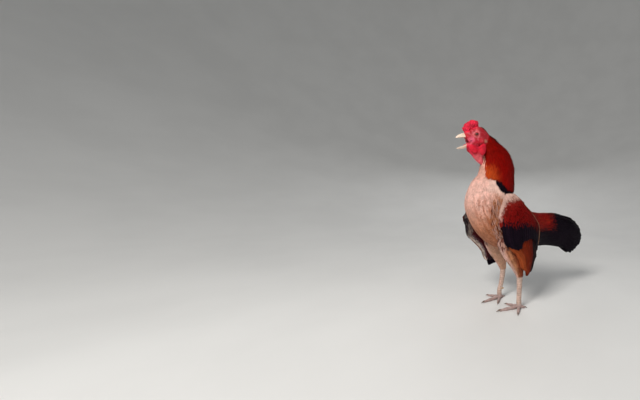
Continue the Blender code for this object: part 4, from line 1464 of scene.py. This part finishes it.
def make_tongue():
    tongue = grid_piece("tongue_flesh", tube_grid(TONGUE, 40, 28))
    points = on_bird(vertex_points(tongue))
    groove = np.exp(-((points[:, 1] / 0.8) ** 2)) * ramp(points[:, 0], 123, 117)
    points[:, 2] -= 0.35 * groove
    set_points(tongue, world(points))
    set_tint(tongue, np.tile(paint("throat") * (0.85, 0.6, 0.6), (len(points), 1)))
    tongue.data.materials.append(looks_bare())
    tongue.data.shade_smooth()
    keep(tongue, "bare_skin", "tongue")


def eye_material():
    """Iris, pupil and dark rim by distance from the eye's axis, under a wet coat."""
    made, tree, shader = new_material("cock_eye")
    reach = new_node(tree, "UVMap", uv_map="Iris")
    radius, around, _ = new_node(tree, "SeparateXYZ", Vector=reach.outputs[0]).outputs
    across, along = maths(tree, "MULTIPLY", around, 60.0), maths(tree, "MULTIPLY", radius, 1.2)
    spread = new_node(tree, "CombineXYZ", X=across, Y=along)
    rays = new_node(tree, "TexNoise", Scale=1.0, Detail=3.0, Vector=spread.outputs[0]).outputs[0]
    iris = blended(tree, span(tree, rays, 0.35, 0.65), paint("iris") * 0.55, paint("iris") * 1.3)
    toned = blended(tree, span(tree, radius, IRIS_RIM, IRIS_RIM + 0.6), iris, (0.03, 0.012, 0.01))
    pupil = span(tree, radius, PUPIL, PUPIL + 0.2, 1.0, 0.0)
    fill(
        tree, shader, Base_Color=blended(tree, pupil, toned, (0.004, 0.003, 0.003)), Roughness=0.5,
        Specular_IOR_Level=0.1, Coat_Weight=0.8, Coat_Roughness=0.02,
    )
    return made


def make_eyes():
    look = eye_material()
    for name, side in SIDES:
        where = np.array((EYE[0], side * EYE[1], EYE[2]))
        eye = ball("eyeball_" + name, where, (EYE_RADIUS,) * 3, segments=48, rings=32)
        points = on_bird(vertex_points(eye))
        axis = unit(np.array((0.22, side, 0.02)))
        offset = points - where
        along = offset @ axis
        flat = offset - along[:, None] * axis
        across = length_of(flat)
        bulge = 0.45 * np.exp(-((across / 2.6) ** 2)) * (along > 0)
        set_points(eye, world(points + bulge[:, None] * axis))
        turn = np.arctan2(flat[:, 2], flat[:, 0]) / math.tau + 0.5
        radius = np.where(along > 0, across, 9.0)
        set_map(eye.data, "Iris", np.stack((radius, turn), -1))
        eye.data.materials.append(look)
        eye.data.shade_smooth()
        keep(eye, "eye", "eye_" + name)


def make_claws():
    """Curved claws on the toes and a small spur behind each shank."""
    pieces, nodes = [], []
    for name, side in SIDES:
        for toe, directions, length, claw, radius in TOES:
            root = radius * 0.52
            heights = np.array((0.62, 0.80, 0.74, 0.42, 0.16)) * radius
            line = toe_line(side, of_side(directions, side), length - 2.2, length + claw, heights)
            rows = [(*p, root * s, root * 0.85 * s) for p, s in zip(line, (0.95, 0.92, 0.70, 0.42, 0.10))]
            pieces.append(grid_piece("claw", tube_grid(rows, 24, 20)))
            nodes.append(f"claw_{name}_{toe}")
    claws = joined(pieces, "claws")
    keep_above_floor(claws)
    finish_horn(claws, paint("claw"))
    keep(claws, "horn", *nodes)
    for name, side in SIDES:
        where = np.array((of_side(FEET, side)[0] - 3.2, side * 34.6, 26.0))
        ahead = unit((-0.72, -side * 0.62, 0.14))
        rows = [(*(where + ahead * r), s, s) for r, s in ((-2.5, 2.9), (1.5, 2.6), (4.5, 1.8), (7.6, 0.5))]
        spur = grid_piece("spur_horn_" + name, tube_grid(rows, 20, 20))
        finish_horn(spur, paint("horn_dark"))
        keep(spur, "horn", "spur_" + name)


def finish_horn(piece, tint):
    set_tint(piece, np.tile(tint, (len(piece.data.vertices), 1)))
    piece.data.materials.append(horn_material("claw_horn", 0.3, 0.38))
    smooth_shade(piece, 45)


# Plumage of body and neck


def looks_soft():
    return feather_material("soft_feather", 0.85, 0.16, 0.5, 0.2, (1.0, 0.9, 0.8), 0.1)


def looks_silk():
    return feather_material("silk_feather", 0.50, 0.30, 0.6, 0.12, (1.0, 0.25, 0.15))


def looks_black():
    return feather_material("black_feather", 0.48, 0.45, 0.8, 0.06, (0.7, 0.6, 1.0))


def under_hackle(t, angle):
    """True where the hackle hides the breast's feathers."""
    return (np.abs(angle) < hackle_front(t) + 1) & (t > hackle_edge(angle) + 0.25)


def hackle_front(t):
    """How far round the neck the hackle reaches, in degrees from the back line."""
    return np.interp(t, (12.5, 13.4, 14.3, 15.4, 16.2, 17.0), (118, 128, 143, 146, 152, 158))


def hackle_edge(angle):
    """How far down the body the tips of the hackle reach."""
    return np.interp(np.abs(angle), (0, 40, 73, 93, 130, 150), (10.7, 11.7, 12.45, 13.1, 13.4, 14.3))


def make_breast():
    """Small soft feathers of breast, belly and neck front, in two pieces, with loose wisps over them."""
    spacing, length = sizes().breast_spacing / MM, sizes().breast_length / MM
    draw = np.random.default_rng(SEED + 2)
    t, angle = scatter(BODY_SURFACE, (7.0, 18.2), (-180, 180), spacing, SEED)
    back = np.interp(t, (7, 9, 11, 13.2, 17.6), (118, 84, 62, 60, 60))
    wanted = (np.abs(angle) > back) & ~under_hackle(t, angle) & ~on_head(body_point(t, angle), -1.5)
    wanted &= (t < band_edge(angle) + 0.15) | (np.abs(angle) > 104)
    t, angle = t[wanted], angle[wanted]
    upper = t > 10.2
    for name, chosen in (("breast_upper", upper), ("breast_lower", ~upper)):
        here = (t[chosen], angle[chosen])
        long = length * np.interp(here[0], (7, 10, 13, 17.5), (1.4, 1.2, 1.0, 0.6))
        half = long * 0.19
        swerve = np.interp(here[0], (11.5, 13.5), (-0.22, 0.12)) * np.sign(here[1])
        piece = tract(
            name, BODY_SURFACE, here, long, half, ROUNDED, looks_soft(), breast_tint, draw,
            sink=2.2, lift=0.25, swerve=swerve, edge=1.06, arch=0.2,
        )
        keep(piece, "plumage_buff")
    loose = np.arange(len(t)) % 3 == 0
    t, angle = t[loose], angle[loose]
    long = length * np.interp(t, (7, 10, 13, 17.5), (1.6, 1.3, 1.0, 0.7))
    swerve = np.interp(t, (11.5, 13.5), (-0.22, 0.12)) * np.sign(angle)
    piece = tract(
        "breast_wisps", BODY_SURFACE, (t, angle), long, 0.5, LANCE, looks_soft(), breast_tint, draw,
        sink=1.6, lift=0.75, swerve=swerve + draw.normal(0, 0.15, len(t)),
    )
    keep(piece, "plumage_buff")


def flank_tint(lines, ts, places, draw):
    """Tan, pale and maroon feathers in streaks, with the pale ones mostly lower down."""
    t = ts[:, 0]
    kind = draw.random(len(t))
    low = ramp(t, 10.6, 9.4)
    maroon = kind > 0.8 - 0.25 * ramp(t, 9.8, 9.0)
    tints = mix(paint("tan") * (1.1, 1.0, 0.9), paint("cream") * (0.85, 0.72, 0.7), kind < 0.3 + 0.5 * low)
    tints = mix(tints, paint("bow") * (0.6, 3.0, 3.0), 0.8 * maroon)
    tints = varied(tints, draw, 0.12)
    # Darker roots: painted shade under the feathers over them.
    return gradient_tint(tints * 0.7, tints, ts.shape[1])


def make_flank():
    """Looser feathers that run from the shoulder down to the thigh."""
    draw = np.random.default_rng(SEED + 20)
    for name, side in SIDES:
        t, angle = scatter(BODY_SURFACE, (8.4, 12.0), (80 * side, 160 * side), 2.6, SEED + 21)
        middle = np.interp(t, (8.4, 9.0, 10.7, 12.0), (146, 138, 112, 92))
        chosen = np.abs(np.abs(angle) - middle) < 10
        piece = tract(
            "flank_" + name, BODY_SURFACE, (t[chosen], angle[chosen]), 19.0, 1.5, LANCE, looks_soft(),
            flank_tint, draw, sink=1.8, lift=1.3, swerve=0.3 * side, edge=0.7,
        )
        keep(piece, "plumage_buff")


def band_edge(angle):
    """How far down the body the black band under the hackle reaches."""
    return np.interp(np.abs(angle), (0, 63, 86, 104), (10.2, 11.5, 12.25, 13.0))


def make_hackle():
    """The cape of the neck: long lancet feathers in many tiers, over a band of black ones."""
    draw = np.random.default_rng(SEED + 3)
    band_t, band_angle = scatter(BODY_SURFACE, (11.4, 14.5), (-104, 104), 2.6, SEED + 5)
    wanted = (band_t < hackle_edge(band_angle) + 0.8) & (band_t > band_edge(band_angle) + 0.1)
    roots = (band_t[wanted], band_angle[wanted])
    long = np.minimum(15.0, BODY_SURFACE.room(*roots, band_edge(roots[1])) + 3.0)
    piece = tract(
        "hackle_band", BODY_SURFACE, roots, long, long * 0.16, LANCE, looks_black(), plain_tint("black"),
        draw, sink=1.8, lift=0.5, thick=0.14,
    )
    keep(piece, "plumage_black")
    t, angle = scatter(BODY_SURFACE, (11.6, 18.3), (-160, 160), 2.15, SEED + 4)
    wanted = (np.abs(angle) < hackle_front(t)) & (t > hackle_edge(angle) + 0.55)
    wanted &= ~on_head(body_point(t, angle), -1.5)
    t, angle = t[wanted], angle[wanted]
    room = BODY_SURFACE.room(t, angle, hackle_edge(angle))
    long = np.minimum(sizes().hackle_length / MM * np.interp(t, (13, 16, 18), (1.0, 0.75, 0.42)), room)
    keep_long = long > 6.0
    t, angle, long = t[keep_long], angle[keep_long], long[keep_long]
    half = np.clip(long * 0.072, 1.15, 2.3)
    order = np.arange(len(t)) % 2 == 0
    lift = 0.8 + (1.2 + 1.8 * (draw.random(len(t)) < 0.15)) * ramp(np.abs(angle), 60, 20)
    for name, chosen in (("hackle_under", order), ("hackle_over", ~order)):
        piece = tract(
            name, BODY_SURFACE, (t[chosen], angle[chosen]), long[chosen], half[chosen], LANCE, looks_silk(),
            hackle_tint, draw, sink=2.2, lift=lift[chosen], edge=1.15, arch=0.35, thick=0.15,
        )
        keep(piece, "plumage_red")
    make_bristles()


def head_surface(side, start, end, span):
    """The head as met from above (side 0) or from one side, closing in on it from start to end."""

    def point(t, place, out=0.0):
        t, place, out = matched(t, place, out)
        away, near = np.full(t.shape, float(start)), np.full(t.shape, float(end))

        def spot(reach):
            return np.stack((t, side * reach, place) if side else (t, place, reach), -1)

        for _ in range(12):
            middle = (away + near) / 2
            inside = head_field(spot(middle).reshape(-1, 3)).reshape(t.shape) < 0
            away, near = np.where(inside, away, middle), np.where(inside, middle, near)
        return spot(near + out)

    return Surface(point, -1.0, (0.6, 0.6), span)


def make_bristles():
    """Short dark feathers over the crown behind the comb, and a buff tuft over each ear."""
    draw = np.random.default_rng(SEED + 22)
    crown = head_surface(0, 424, 385, ((50, 90), (-10, 10)))
    tufts = [("crown_bristles", "plumage_black", crown, (58, 80), (-8, 8), "fleck", 7.0, 0.5, 1.7)]
    for name, side in SIDES:
        cheek = head_surface(side, 26, 4, ((60, 84), (370, 390)))
        places = ((69.5, 76), (377, 382.5))
        tufts.append(("ear_tuft_" + name, "plumage_buff", cheek, *places, "salmon", 4.5, 0.4, 0.3))
    for name, slot, surface, t_span, place_span, tone, long, half, lift in tufts:
        roots = scatter(surface, t_span, place_span, 1.0, SEED + 23)
        piece = tract(
            name, surface, roots, long, half, LANCE, looks_soft(), plain_tint(tone, spread=0.25), draw,
            sink=0.6, lift=lift,
        )
        keep(piece, slot)


def make_saddle():
    """Long silky feathers over the back and the root of the tail."""
    draw = np.random.default_rng(SEED + 6)
    t, angle = scatter(BODY_SURFACE, (4.9, 10.9), (-118, 118), 2.3, SEED + 7)
    wanted = np.abs(angle) < np.interp(t, (4.9, 8, 9.5, 10.9), (116, 112, 84, 58))
    t, angle = t[wanted], angle[wanted]
    long = sizes().saddle_length / MM * np.interp(t, (4.9, 7, 9, 10.9), (0.55, 0.85, 0.75, 0.4))
    piece = tract(
        "saddle", BODY_SURFACE, (t, angle), long, np.clip(long * 0.07, 1.3, 2.4), LANCE, looks_silk(),
        saddle_tint, draw, sink=2.4, lift=0.7, edge=1.5, arch=0.35, thick=0.15,
        swerve=0.10 * np.sign(angle),
    )
    keep(piece, "plumage_red")
    t, angle = scatter(BODY_SURFACE, (3.4, 7.6), (95, 265), 2.6, SEED + 8)
    piece = tract(
        "tail_fluff", BODY_SURFACE, (t, angle), 13.0, 3.0, ROUNDED, looks_black(),
        plain_tint("black", scale=1.3), draw, sink=1.5, lift=0.8, thick=0.14,
    )
    keep(piece, "plumage_black")


def make_thighs():
    """Small feathers of the thighs, with a looser drape over the front of each."""
    draw = np.random.default_rng(SEED + 9)
    for name, side in SIDES:
        surface = thigh_surface(side)
        t, angle = scatter(surface, (0.1, 4.9), (-180, 180), 1.9, SEED + 10)
        long = np.interp(t, (0, 2, 3.6, 4.7), (13.5, 12.0, 8.5, 5.0))
        long = np.minimum(long, surface.room(t, angle, 5.3))
        chosen = long > 2.5
        t, angle, long = t[chosen], angle[chosen], long[chosen]
        piece = tract(
            "thigh_feathers_" + name, surface, (t, angle), long, long * 0.17, ROUNDED, looks_soft(),
            thigh_tint(side), draw, sink=2.2, lift=0.25, edge=1.08,
        )
        keep(piece, "plumage_buff")
        roots = scatter(surface, (0.0, 1.0), (-25, 55), 3.0, SEED + 24)
        piece = tract(
            "thigh_drape_" + name, surface, roots, 14.0, 1.8, LANCE, looks_soft(), flank_tint, draw,
            sink=1.8, lift=1.4, edge=0.6,
        )
        keep(piece, "plumage_buff")


# Wings and tail


def large_feathers(name, lines, normals, half, tints, roots, look, edge=0.9, arch=0.12):
    """Large feathers with a flat wide vane and a raised shaft."""
    piece = feathers(name, lines, normals, half, tints, roots, WIDE_SECTION, arch, 0.30, edge)
    piece.data.materials.append(look)
    return piece


def wing_feather_row(surface, count, start, end, spread, out, half, draw):
    """Centre lines of a row of long wing feathers. Each value may be a pair: at the rear and at the front."""

    def along_row(pair):
        return np.interp(np.linspace(0, 1, count), np.linspace(0, 1, len(pair)), pair)

    share = FLIGHT[0][None]
    ends = along_row(end) + draw.uniform(-0.06, 0.06, count)
    t = along_row(start)[:, None] * (1 - share) + ends[:, None] * share
    root, tip = along_row(spread[0])[:, None], along_row(spread[1])[:, None]
    place = root * (1 - share) + tip * share
    layer = np.linspace(0, 0.9, count)[:, None]
    lift = out[0] * (1 - share) + out[1] * share + layer
    lines = surface.point(t, place, lift)
    normals = surface.normal(t, place)
    widths = half * FLIGHT[1][None] * draw.uniform(0.96, 1.04, (count, 1))
    return lines, normals, widths, surface.map_place(t[:, 0], place[:, 0]), np.linspace(0, 1, count)


def make_wings():
    for name, side in SIDES:
        draw = np.random.default_rng(SEED + 12)
        surface, under = wing_surface(side), wing_surface(side, inner=True)
        pieces = [
            wing_secondaries(surface, draw),
            wing_primaries(surface, side, draw),
            wing_bar(surface, draw),
            wing_coverts(surface, draw),
            wing_underside(under, side == -1, draw),
            wing_edge(surface, draw),
        ]
        for piece, part in zip(pieces, ("secondaries", "primaries", "bar", "coverts", "lining", "edge")):
            piece.name = piece.data.name = f"wing_{part}_{name}"
            keep(piece, "plumage_red" if part in ("secondaries", "coverts") else "plumage_black")


def wing_secondaries(surface, draw):
    """The rust bay of the closed wing, black at its rear edge."""
    lines, normals, widths, roots, order = wing_feather_row(
        surface, 16, (3.2, 3.4, 3.6), (8.6, 9.6, 8.5), ((-0.86, 0.88), (-0.98, 1.0)), (-1.2, 0.4), 4.9, draw
    )
    rust = mix(paint("bay") * (0.85, 0.7, 0.8), paint("bay") * (1.6, 2.4, 3.0), ramp(order, 0.6, 1.0))
    rust = varied(rust, draw, 0.12)
    rust = mix(rust, paint("bay") * (0.5, 0.28, 0.5), ramp(order, 0.55, 0.30))
    rust = mix(rust, paint("black"), ramp(order, 0.28, 0.20))
    tips = mix(rust * 1.15, paint("fleck") * 0.5, 0.1)
    tints = gradient_tint(rust * 1.05, tips, widths.shape[1], 3.0)
    return large_feathers("secondaries", lines, normals, widths, tints, roots, looks_silk(), edge=0.72)


def wing_primaries(surface, side, draw):
    """The black primaries under the secondaries; on the near wing the foremost are rust."""
    lines, normals, widths, roots, order = wing_feather_row(
        surface, 9, (3.6, 3.8), (9.3, 9.85), ((-0.5, 0.7), (-1.2, 0.2)), (-3.4, -1.6), 4.6, draw
    )
    black = varied(np.tile(paint("black") * 1.3, (len(order), 1)), draw, 0.1)
    black = mix(black, paint("bay"), (order > 0.5) * (side == 1))
    tints = gradient_tint(black, black * 0.8, widths.shape[1])
    return large_feathers("primaries", lines, normals, widths, tints, roots, looks_black())


def wing_bar(surface, draw):
    """Greater coverts: a blue black bar, long at its front and over the rear edge."""
    lines, normals, widths, roots, order = wing_feather_row(
        surface, 18, (3.2, 3.2), (6.6, 5.1, 4.9, 4.85, 5.0, 5.95, 6.1, 5.6), ((-0.96, 0.9), (-1.03, 0.98)),
        (0.0, 1.7), 4.4, draw,
    )
    black = varied(np.tile(paint("black"), (len(order), 1)), draw, 0.2)
    tints = gradient_tint(black * 1.2, black, widths.shape[1])
    # edge=2.0 paints each rim lighter than the middle of its feather: a painted sheen that picks out each
    # one.
    return large_feathers("bar", lines, normals, widths, tints, roots, looks_black(), edge=2.0)


def wing_coverts(surface, draw):
    """Lesser coverts: small on the cream shoulder, larger down the mahogany bow."""
    t, place = scatter(surface, (0.05, 4.5), (-1.0, 1.0), 2.2, SEED + 13)
    chosen = t < np.interp(place, (-1.0, 0.0, 0.6, 1.0), (4.4, 4.2, 3.9, 3.6))
    t, place = t[chosen], place[chosen]
    long = np.interp(t, (0, 1.2, 2.4, 4.5), (7.0, 10.0, 14.0, 16.0))
    return tract(
        "coverts", surface, (t, place), long, long * 0.20, ROUNDED, looks_silk(), covert_tint, draw,
        sink=1.3, lift=1.3, edge=1.2, thick=0.15,
    )


def wing_underside(under, far, draw):
    """The lining of a wing. The far wing shows its lining, with a grey beige front edge."""
    t, place = scatter(under, (0.8, 7.6), (-0.96, 0.96), 2.8, SEED + 14)
    long = np.interp(t, (0.8, 3, 7.6), (10.0, 18.0, 20.0))

    def tint(lines, ts, places, draw_again):
        t, place = ts[:, 0], places[:, 0]
        tints = np.tile(paint("black") * 1.6 + (0.012 * far, 0.009 * far, 0.009 * far), (len(ts), 1))
        low = ramp(t, 4.3, 5.0)
        front = ramp(place + draw_again.normal(0, 0.03, len(ts)), 0.74, 0.84) * far
        tints = mix(tints, paint("bow") * 0.35, 0.8 * ramp(place, 0.0, 0.4) * (1 - front))
        tints = mix(tints, paint("grey") * (0.35, 0.3, 0.38), 0.8 * low * ramp(place, 0.5, 0.74) * far)
        tints = mix(tints, paint("grey"), front * low)
        lined = streaks(t, place, 0.5, 22.0) * ramp(place, 0.5, 0.8) * (1 - low) * far
        tints = mix(tints, paint("grey") * 0.4, 0.8 * lined)
        tints = mix(tints, paint("bay") * 0.8, 0.9 * ramp(t, 5.0, 6.0) * ramp(place, 0.1, 0.4) * (not far))
        tints = varied(tints, draw_again, 0.18)
        # Darker roots and lighter tips: painted shade under the feathers over them.
        return gradient_tint(tints * 0.8, tints * 1.15, ts.shape[1])

    return tract(
        "lining", under, (t, place), long, long * 0.15, ROUNDED, looks_black(), tint, draw,
        sink=1.0, lift=0.5, edge=0.9, arch=0.25, thick=0.15,
    )


def wing_edge(surface, draw):
    """A few slender buff feathers that hang along the wing's rear edge."""
    lines, normals, widths, roots, order = wing_feather_row(
        surface, 5, (2.2, 1.0), (5.8, 4.0), ((-1.03, -0.94), (-1.07, -0.99)), (0.2, 1.4), 1.2, draw
    )
    buff = varied(np.tile(paint("buff") * 0.75, (len(order), 1)), draw, 0.3)
    tints = gradient_tint(buff * 0.6, buff, widths.shape[1])
    return large_feathers("edge", lines, normals, widths, tints, roots, looks_silk(), edge=0.6)


def make_tail():
    """The short drooping fan: main feathers in pairs, under curved coverts."""
    draw = np.random.default_rng(SEED + 15)
    fans = (
        ("tail_fan", 16, (70.0, 136.0), (64.0, 47.0), (0.9, 5.0), 9.2, -110.0),
        ("tail_coverts_low", 14, (78.0, 124.0), (53.0, 42.0), (2.6, 6.0), 6.4, -100.0),
        ("tail_coverts_top", 12, (84.0, 104.0), (40.0, 37.0), (4.0, 7.0), 5.2, -92.0),
    )
    for name, count, (top, sweep), reach, offset, half, root in fans:
        lines, widths = [], []
        for side in (1, -1):
            for number in range(count):
                step = number / (count - 1)
                lines.append(tail_line(side, step, top, sweep, reach, offset, root, draw))
                widths.append((half - 1.6 * abs(step - 0.4)) * FLIGHT[1])
        lines, widths = np.array(lines), np.array(widths)
        outward = np.sign(lines[:, :1, 1:2]) * np.ones_like(lines[..., :1])
        tilt = np.tile(0.2 + 1.4 * (1 - np.linspace(0, 1, count)) ** 3, 2)[:, None, None]
        normals = unit(np.concatenate((0 * outward, outward, tilt + 0 * outward), -1))
        black = varied(np.tile(paint("black"), (len(lines), 1)), draw, 0.15)
        tints = gradient_tint(black * 1.1, black, widths.shape[1])
        roots = BODY_SURFACE.map_place(np.linspace(3.0, 5.8, len(lines)), np.linspace(-120, 120, len(lines)))
        piece = large_feathers(name, lines, normals, widths, tints, roots, looks_black(), arch=0.14)
        keep(piece, "plumage_black")
    make_tail_top(draw)


def tail_line(side, step, top, sweep, reach, offset, root, draw):
    """The centre line of one tail feather, from the tail's root to its place on the rim of the fan."""
    rim = math.radians(top - sweep * step + draw.uniform(-2.0, 2.0))
    grow = draw.uniform(0.96, 1.02)
    tip = np.array((
        -170.0 - reach[0] * grow * math.cos(rim),
        side * (offset[0] + offset[1] * step),
        147.0 + reach[1] * grow * math.sin(rim),
    ))
    start = np.array((root, side * (offset[0] + 5.0), 188.0 - 32.0 * step))
    share = FLIGHT[0]
    line = start + (tip - start) * share[:, None]
    line[:, 1] += side * 4.0 * np.sin(math.pi * share)
    line[:, 2] += (12.0 - 6.0 * step) * np.sin(math.pi * share)
    return line


def make_tail_top(draw):
    """Small black feathers that cover the roots of the fan."""
    t, angle = scatter(BODY_SURFACE, (3.2, 5.4), (-125, 125), 3.0, SEED + 16)
    piece = tract(
        "tail_cover", BODY_SURFACE, (t, angle), 24.0, 2.9, LANCE, looks_black(), plain_tint("black"), draw,
        sink=2.6, lift=0.6, edge=0.9, arch=0.25, thick=0.18,
    )
    keep(piece, "plumage_black")


# Stage

FLOOR_RADIUS = 0.6
FLAT_RADIUS = 0.9
SWEEP = 3.0
WALL_TOP = 5.0
# How far the floor lies under the soles, so that the two faces never meet
FLOOR_DROP = 0.0002
# The photograph's camera, measured from the bird's own origin: lens and shift fit its frame
CAMERA_PLACE = (-0.3625, -0.5841, 0.2756)
CAMERA_TURN = 30.0
CAMERA_DIP = 2.26
CAMERA_LENS = 16.26
CAMERA_SHIFT = -0.28125
# Lights: name, place, height of its aim, size, power, colour
LIGHTS = (
    ("key", (-1.3, -0.9, 1.5), 0.22, 0.7, 38.0, (1.0, 0.97, 0.93)),
    ("fill", (1.2, -1.5, 0.9), 0.20, 1.6, 5.0, (0.94, 0.97, 1.0)),
    ("back", (0.8, 1.6, 1.5), 0.25, 1.2, 8.0, (1.0, 1.0, 1.0)),
)


def floor_material():
    made, tree, shader = new_material("studio_floor")
    pale = paint("floor")
    soft = span(tree, clouds(tree, Scale=3.0, Detail=5.0), 0.3, 0.7)
    tinted = blended(tree, soft, pale * 0.97, np.minimum(pale * 1.02, 1.0))
    fill(tree, shader, Base_Color=tinted, Roughness=0.75, Specular_IOR_Level=0.3)
    return made


def make_floor():
    """A round pale floor whose rim sweeps up into a backdrop on every side."""
    deselect()
    bpy.ops.mesh.primitive_circle_add(vertices=128, radius=FLOOR_RADIUS, fill_type="TRIFAN")
    floor = bpy.context.object
    floor.name = "studio_floor_sweep"
    bpy.ops.object.mode_set(mode="EDIT")
    bpy.ops.mesh.select_all(action="DESELECT")
    bpy.ops.object.mode_set(mode="OBJECT")
    for edge in floor.data.edges:
        edge.select = all(floor.data.vertices[i].co.length > 0.98 * FLOOR_RADIUS for i in edge.vertices)
    bpy.ops.object.mode_set(mode="EDIT")
    bpy.ops.mesh.select_mode(type="EDGE")
    sweep = [(FLAT_RADIUS, 0.0)]
    for turn in np.linspace(0.08, math.pi / 2, 20):
        sweep.append((FLAT_RADIUS + SWEEP * math.sin(turn), SWEEP - SWEEP * math.cos(turn)))
    sweep.append((FLAT_RADIUS + SWEEP, WALL_TOP))
    radius, height = FLOOR_RADIUS, 0.0
    for reach, rise in sweep:
        bpy.ops.mesh.extrude_edges_move(TRANSFORM_OT_translate={"value": (0, 0, rise - height)})
        bpy.ops.transform.resize(value=(reach / radius, reach / radius, 1.0), center_override=(0, 0, 0))
        radius, height = reach, rise
    bpy.ops.object.mode_set(mode="OBJECT")
    floor.data.transform(Matrix.Translation((0.0, 0.0, -FLOOR_DROP)))
    floor.data.shade_smooth()
    floor.data.materials.append(floor_material())


def area_light(name, place, aim_height, size, power, tint):
    light = bpy.data.lights.new(name, "AREA")
    light.size = size
    light.energy = power
    light.color = tint
    lamp = bpy.data.objects.new(name, light)
    bpy.context.scene.collection.objects.link(lamp)
    lamp.location = place
    aim = Vector((0, 0, aim_height)) - Vector(place)
    lamp.rotation_euler = aim.to_track_quat("-Z", "Y").to_euler()


def make_camera():
    camera = bpy.data.cameras.new("photo_camera")
    camera.sensor_width = 36.0
    camera.lens = CAMERA_LENS
    camera.shift_x = CAMERA_SHIFT
    holder = bpy.data.objects.new("photo_camera", camera)
    bpy.context.scene.collection.objects.link(holder)
    holder.location = Vector(CAMERA_PLACE) + Vector(ORIGIN)
    turn = math.radians(CAMERA_TURN)
    look = Vector((math.sin(turn), math.cos(turn), -math.tan(math.radians(CAMERA_DIP))))
    holder.rotation_euler = look.to_track_quat("-Z", "Y").to_euler()
    bpy.context.scene.camera = holder


def make_stage():
    make_floor()
    make_camera()
    for light in LIGHTS:
        area_light(*light)
    backdrop = bpy.data.worlds.new("studio")
    backdrop.use_nodes = True
    shade = backdrop.node_tree.nodes["Background"]
    shade.inputs["Color"].default_value = (0.86, 0.89, 0.92, 1.0)
    shade.inputs["Strength"].default_value = 0.24
    bpy.context.scene.world = backdrop
    bpy.context.scene.view_settings.view_transform = "Standard"


# The add-on's operators and panel


class COCK_OT_skin(bpy.types.Operator):
    """Build the one skin of head, body, wings and legs"""

    bl_idname = "cock.skin"
    bl_label = "Skin"

    def execute(self, context):
        make_skin()
        return {"FINISHED"}


class COCK_OT_bill(bpy.types.Operator):
    """Build the bill and the tongue"""

    bl_idname = "cock.bill"
    bl_label = "Bill and Tongue"

    def execute(self, context):
        make_bill()
        return {"FINISHED"}


class COCK_OT_eyes(bpy.types.Operator):
    """Build the two eyes"""

    bl_idname = "cock.eyes"
    bl_label = "Eyes"

    def execute(self, context):
        make_eyes()
        return {"FINISHED"}


class COCK_OT_claws(bpy.types.Operator):
    """Build the claws and spurs"""

    bl_idname = "cock.claws"
    bl_label = "Claws and Spurs"

    def execute(self, context):
        make_claws()
        return {"FINISHED"}


class COCK_OT_breast(bpy.types.Operator):
    """Lay the small feathers of breast, belly and thighs"""

    bl_idname = "cock.breast"
    bl_label = "Breast and Thigh Feathers"

    def execute(self, context):
        make_breast()
        make_flank()
        make_thighs()
        return {"FINISHED"}


class COCK_OT_hackle(bpy.types.Operator):
    """Lay the hackle of the neck"""

    bl_idname = "cock.hackle"
    bl_label = "Hackle"

    def execute(self, context):
        make_hackle()
        return {"FINISHED"}


class COCK_OT_saddle(bpy.types.Operator):
    """Lay the saddle feathers of the back"""

    bl_idname = "cock.saddle"
    bl_label = "Saddle"

    def execute(self, context):
        make_saddle()
        return {"FINISHED"}


class COCK_OT_wings(bpy.types.Operator):
    """Lay the feathers of both wings"""

    bl_idname = "cock.wings"
    bl_label = "Wings"

    def execute(self, context):
        make_wings()
        return {"FINISHED"}


class COCK_OT_tail(bpy.types.Operator):
    """Lay the tail's fan and coverts"""

    bl_idname = "cock.tail"
    bl_label = "Tail"

    def execute(self, context):
        make_tail()
        return {"FINISHED"}


class COCK_OT_stage(bpy.types.Operator):
    """Build the floor, the lights and the camera"""

    bl_idname = "cock.stage"
    bl_label = "Stage"

    def execute(self, context):
        make_stage()
        return {"FINISHED"}


STEPS = ("skin", "bill", "eyes", "claws", "breast", "hackle", "saddle", "wings", "tail", "stage")


class COCK_PT_panel(bpy.types.Panel):
    bl_label = "Bantam Cock"
    bl_space_type = "VIEW_3D"
    bl_region_type = "UI"
    bl_category = "Bantam Cock"

    def draw(self, context):
        for group in (context.scene.cock_sizes, context.scene.cock_colours):
            for name in group.__annotations__:
                self.layout.prop(group, name)
        for step in STEPS:
            self.layout.operator("cock." + step)


CLASSES = (
    CockSizes,
    CockColours,
    COCK_OT_skin,
    COCK_OT_bill,
    COCK_OT_eyes,
    COCK_OT_claws,
    COCK_OT_breast,
    COCK_OT_hackle,
    COCK_OT_saddle,
    COCK_OT_wings,
    COCK_OT_tail,
    COCK_OT_stage,
    COCK_PT_panel,
)


def register():
    for cls in CLASSES:
        bpy.utils.register_class(cls)
    bpy.types.Scene.cock_sizes = PointerProperty(type=CockSizes)
    bpy.types.Scene.cock_colours = PointerProperty(type=CockColours)


def unregister():
    del bpy.types.Scene.cock_sizes
    del bpy.types.Scene.cock_colours
    for cls in reversed(CLASSES):
        bpy.utils.unregister_class(cls)


def main():
    register()
    for step in STEPS:
        getattr(bpy.ops.cock, step)()


if __name__ == "__main__":
    main()
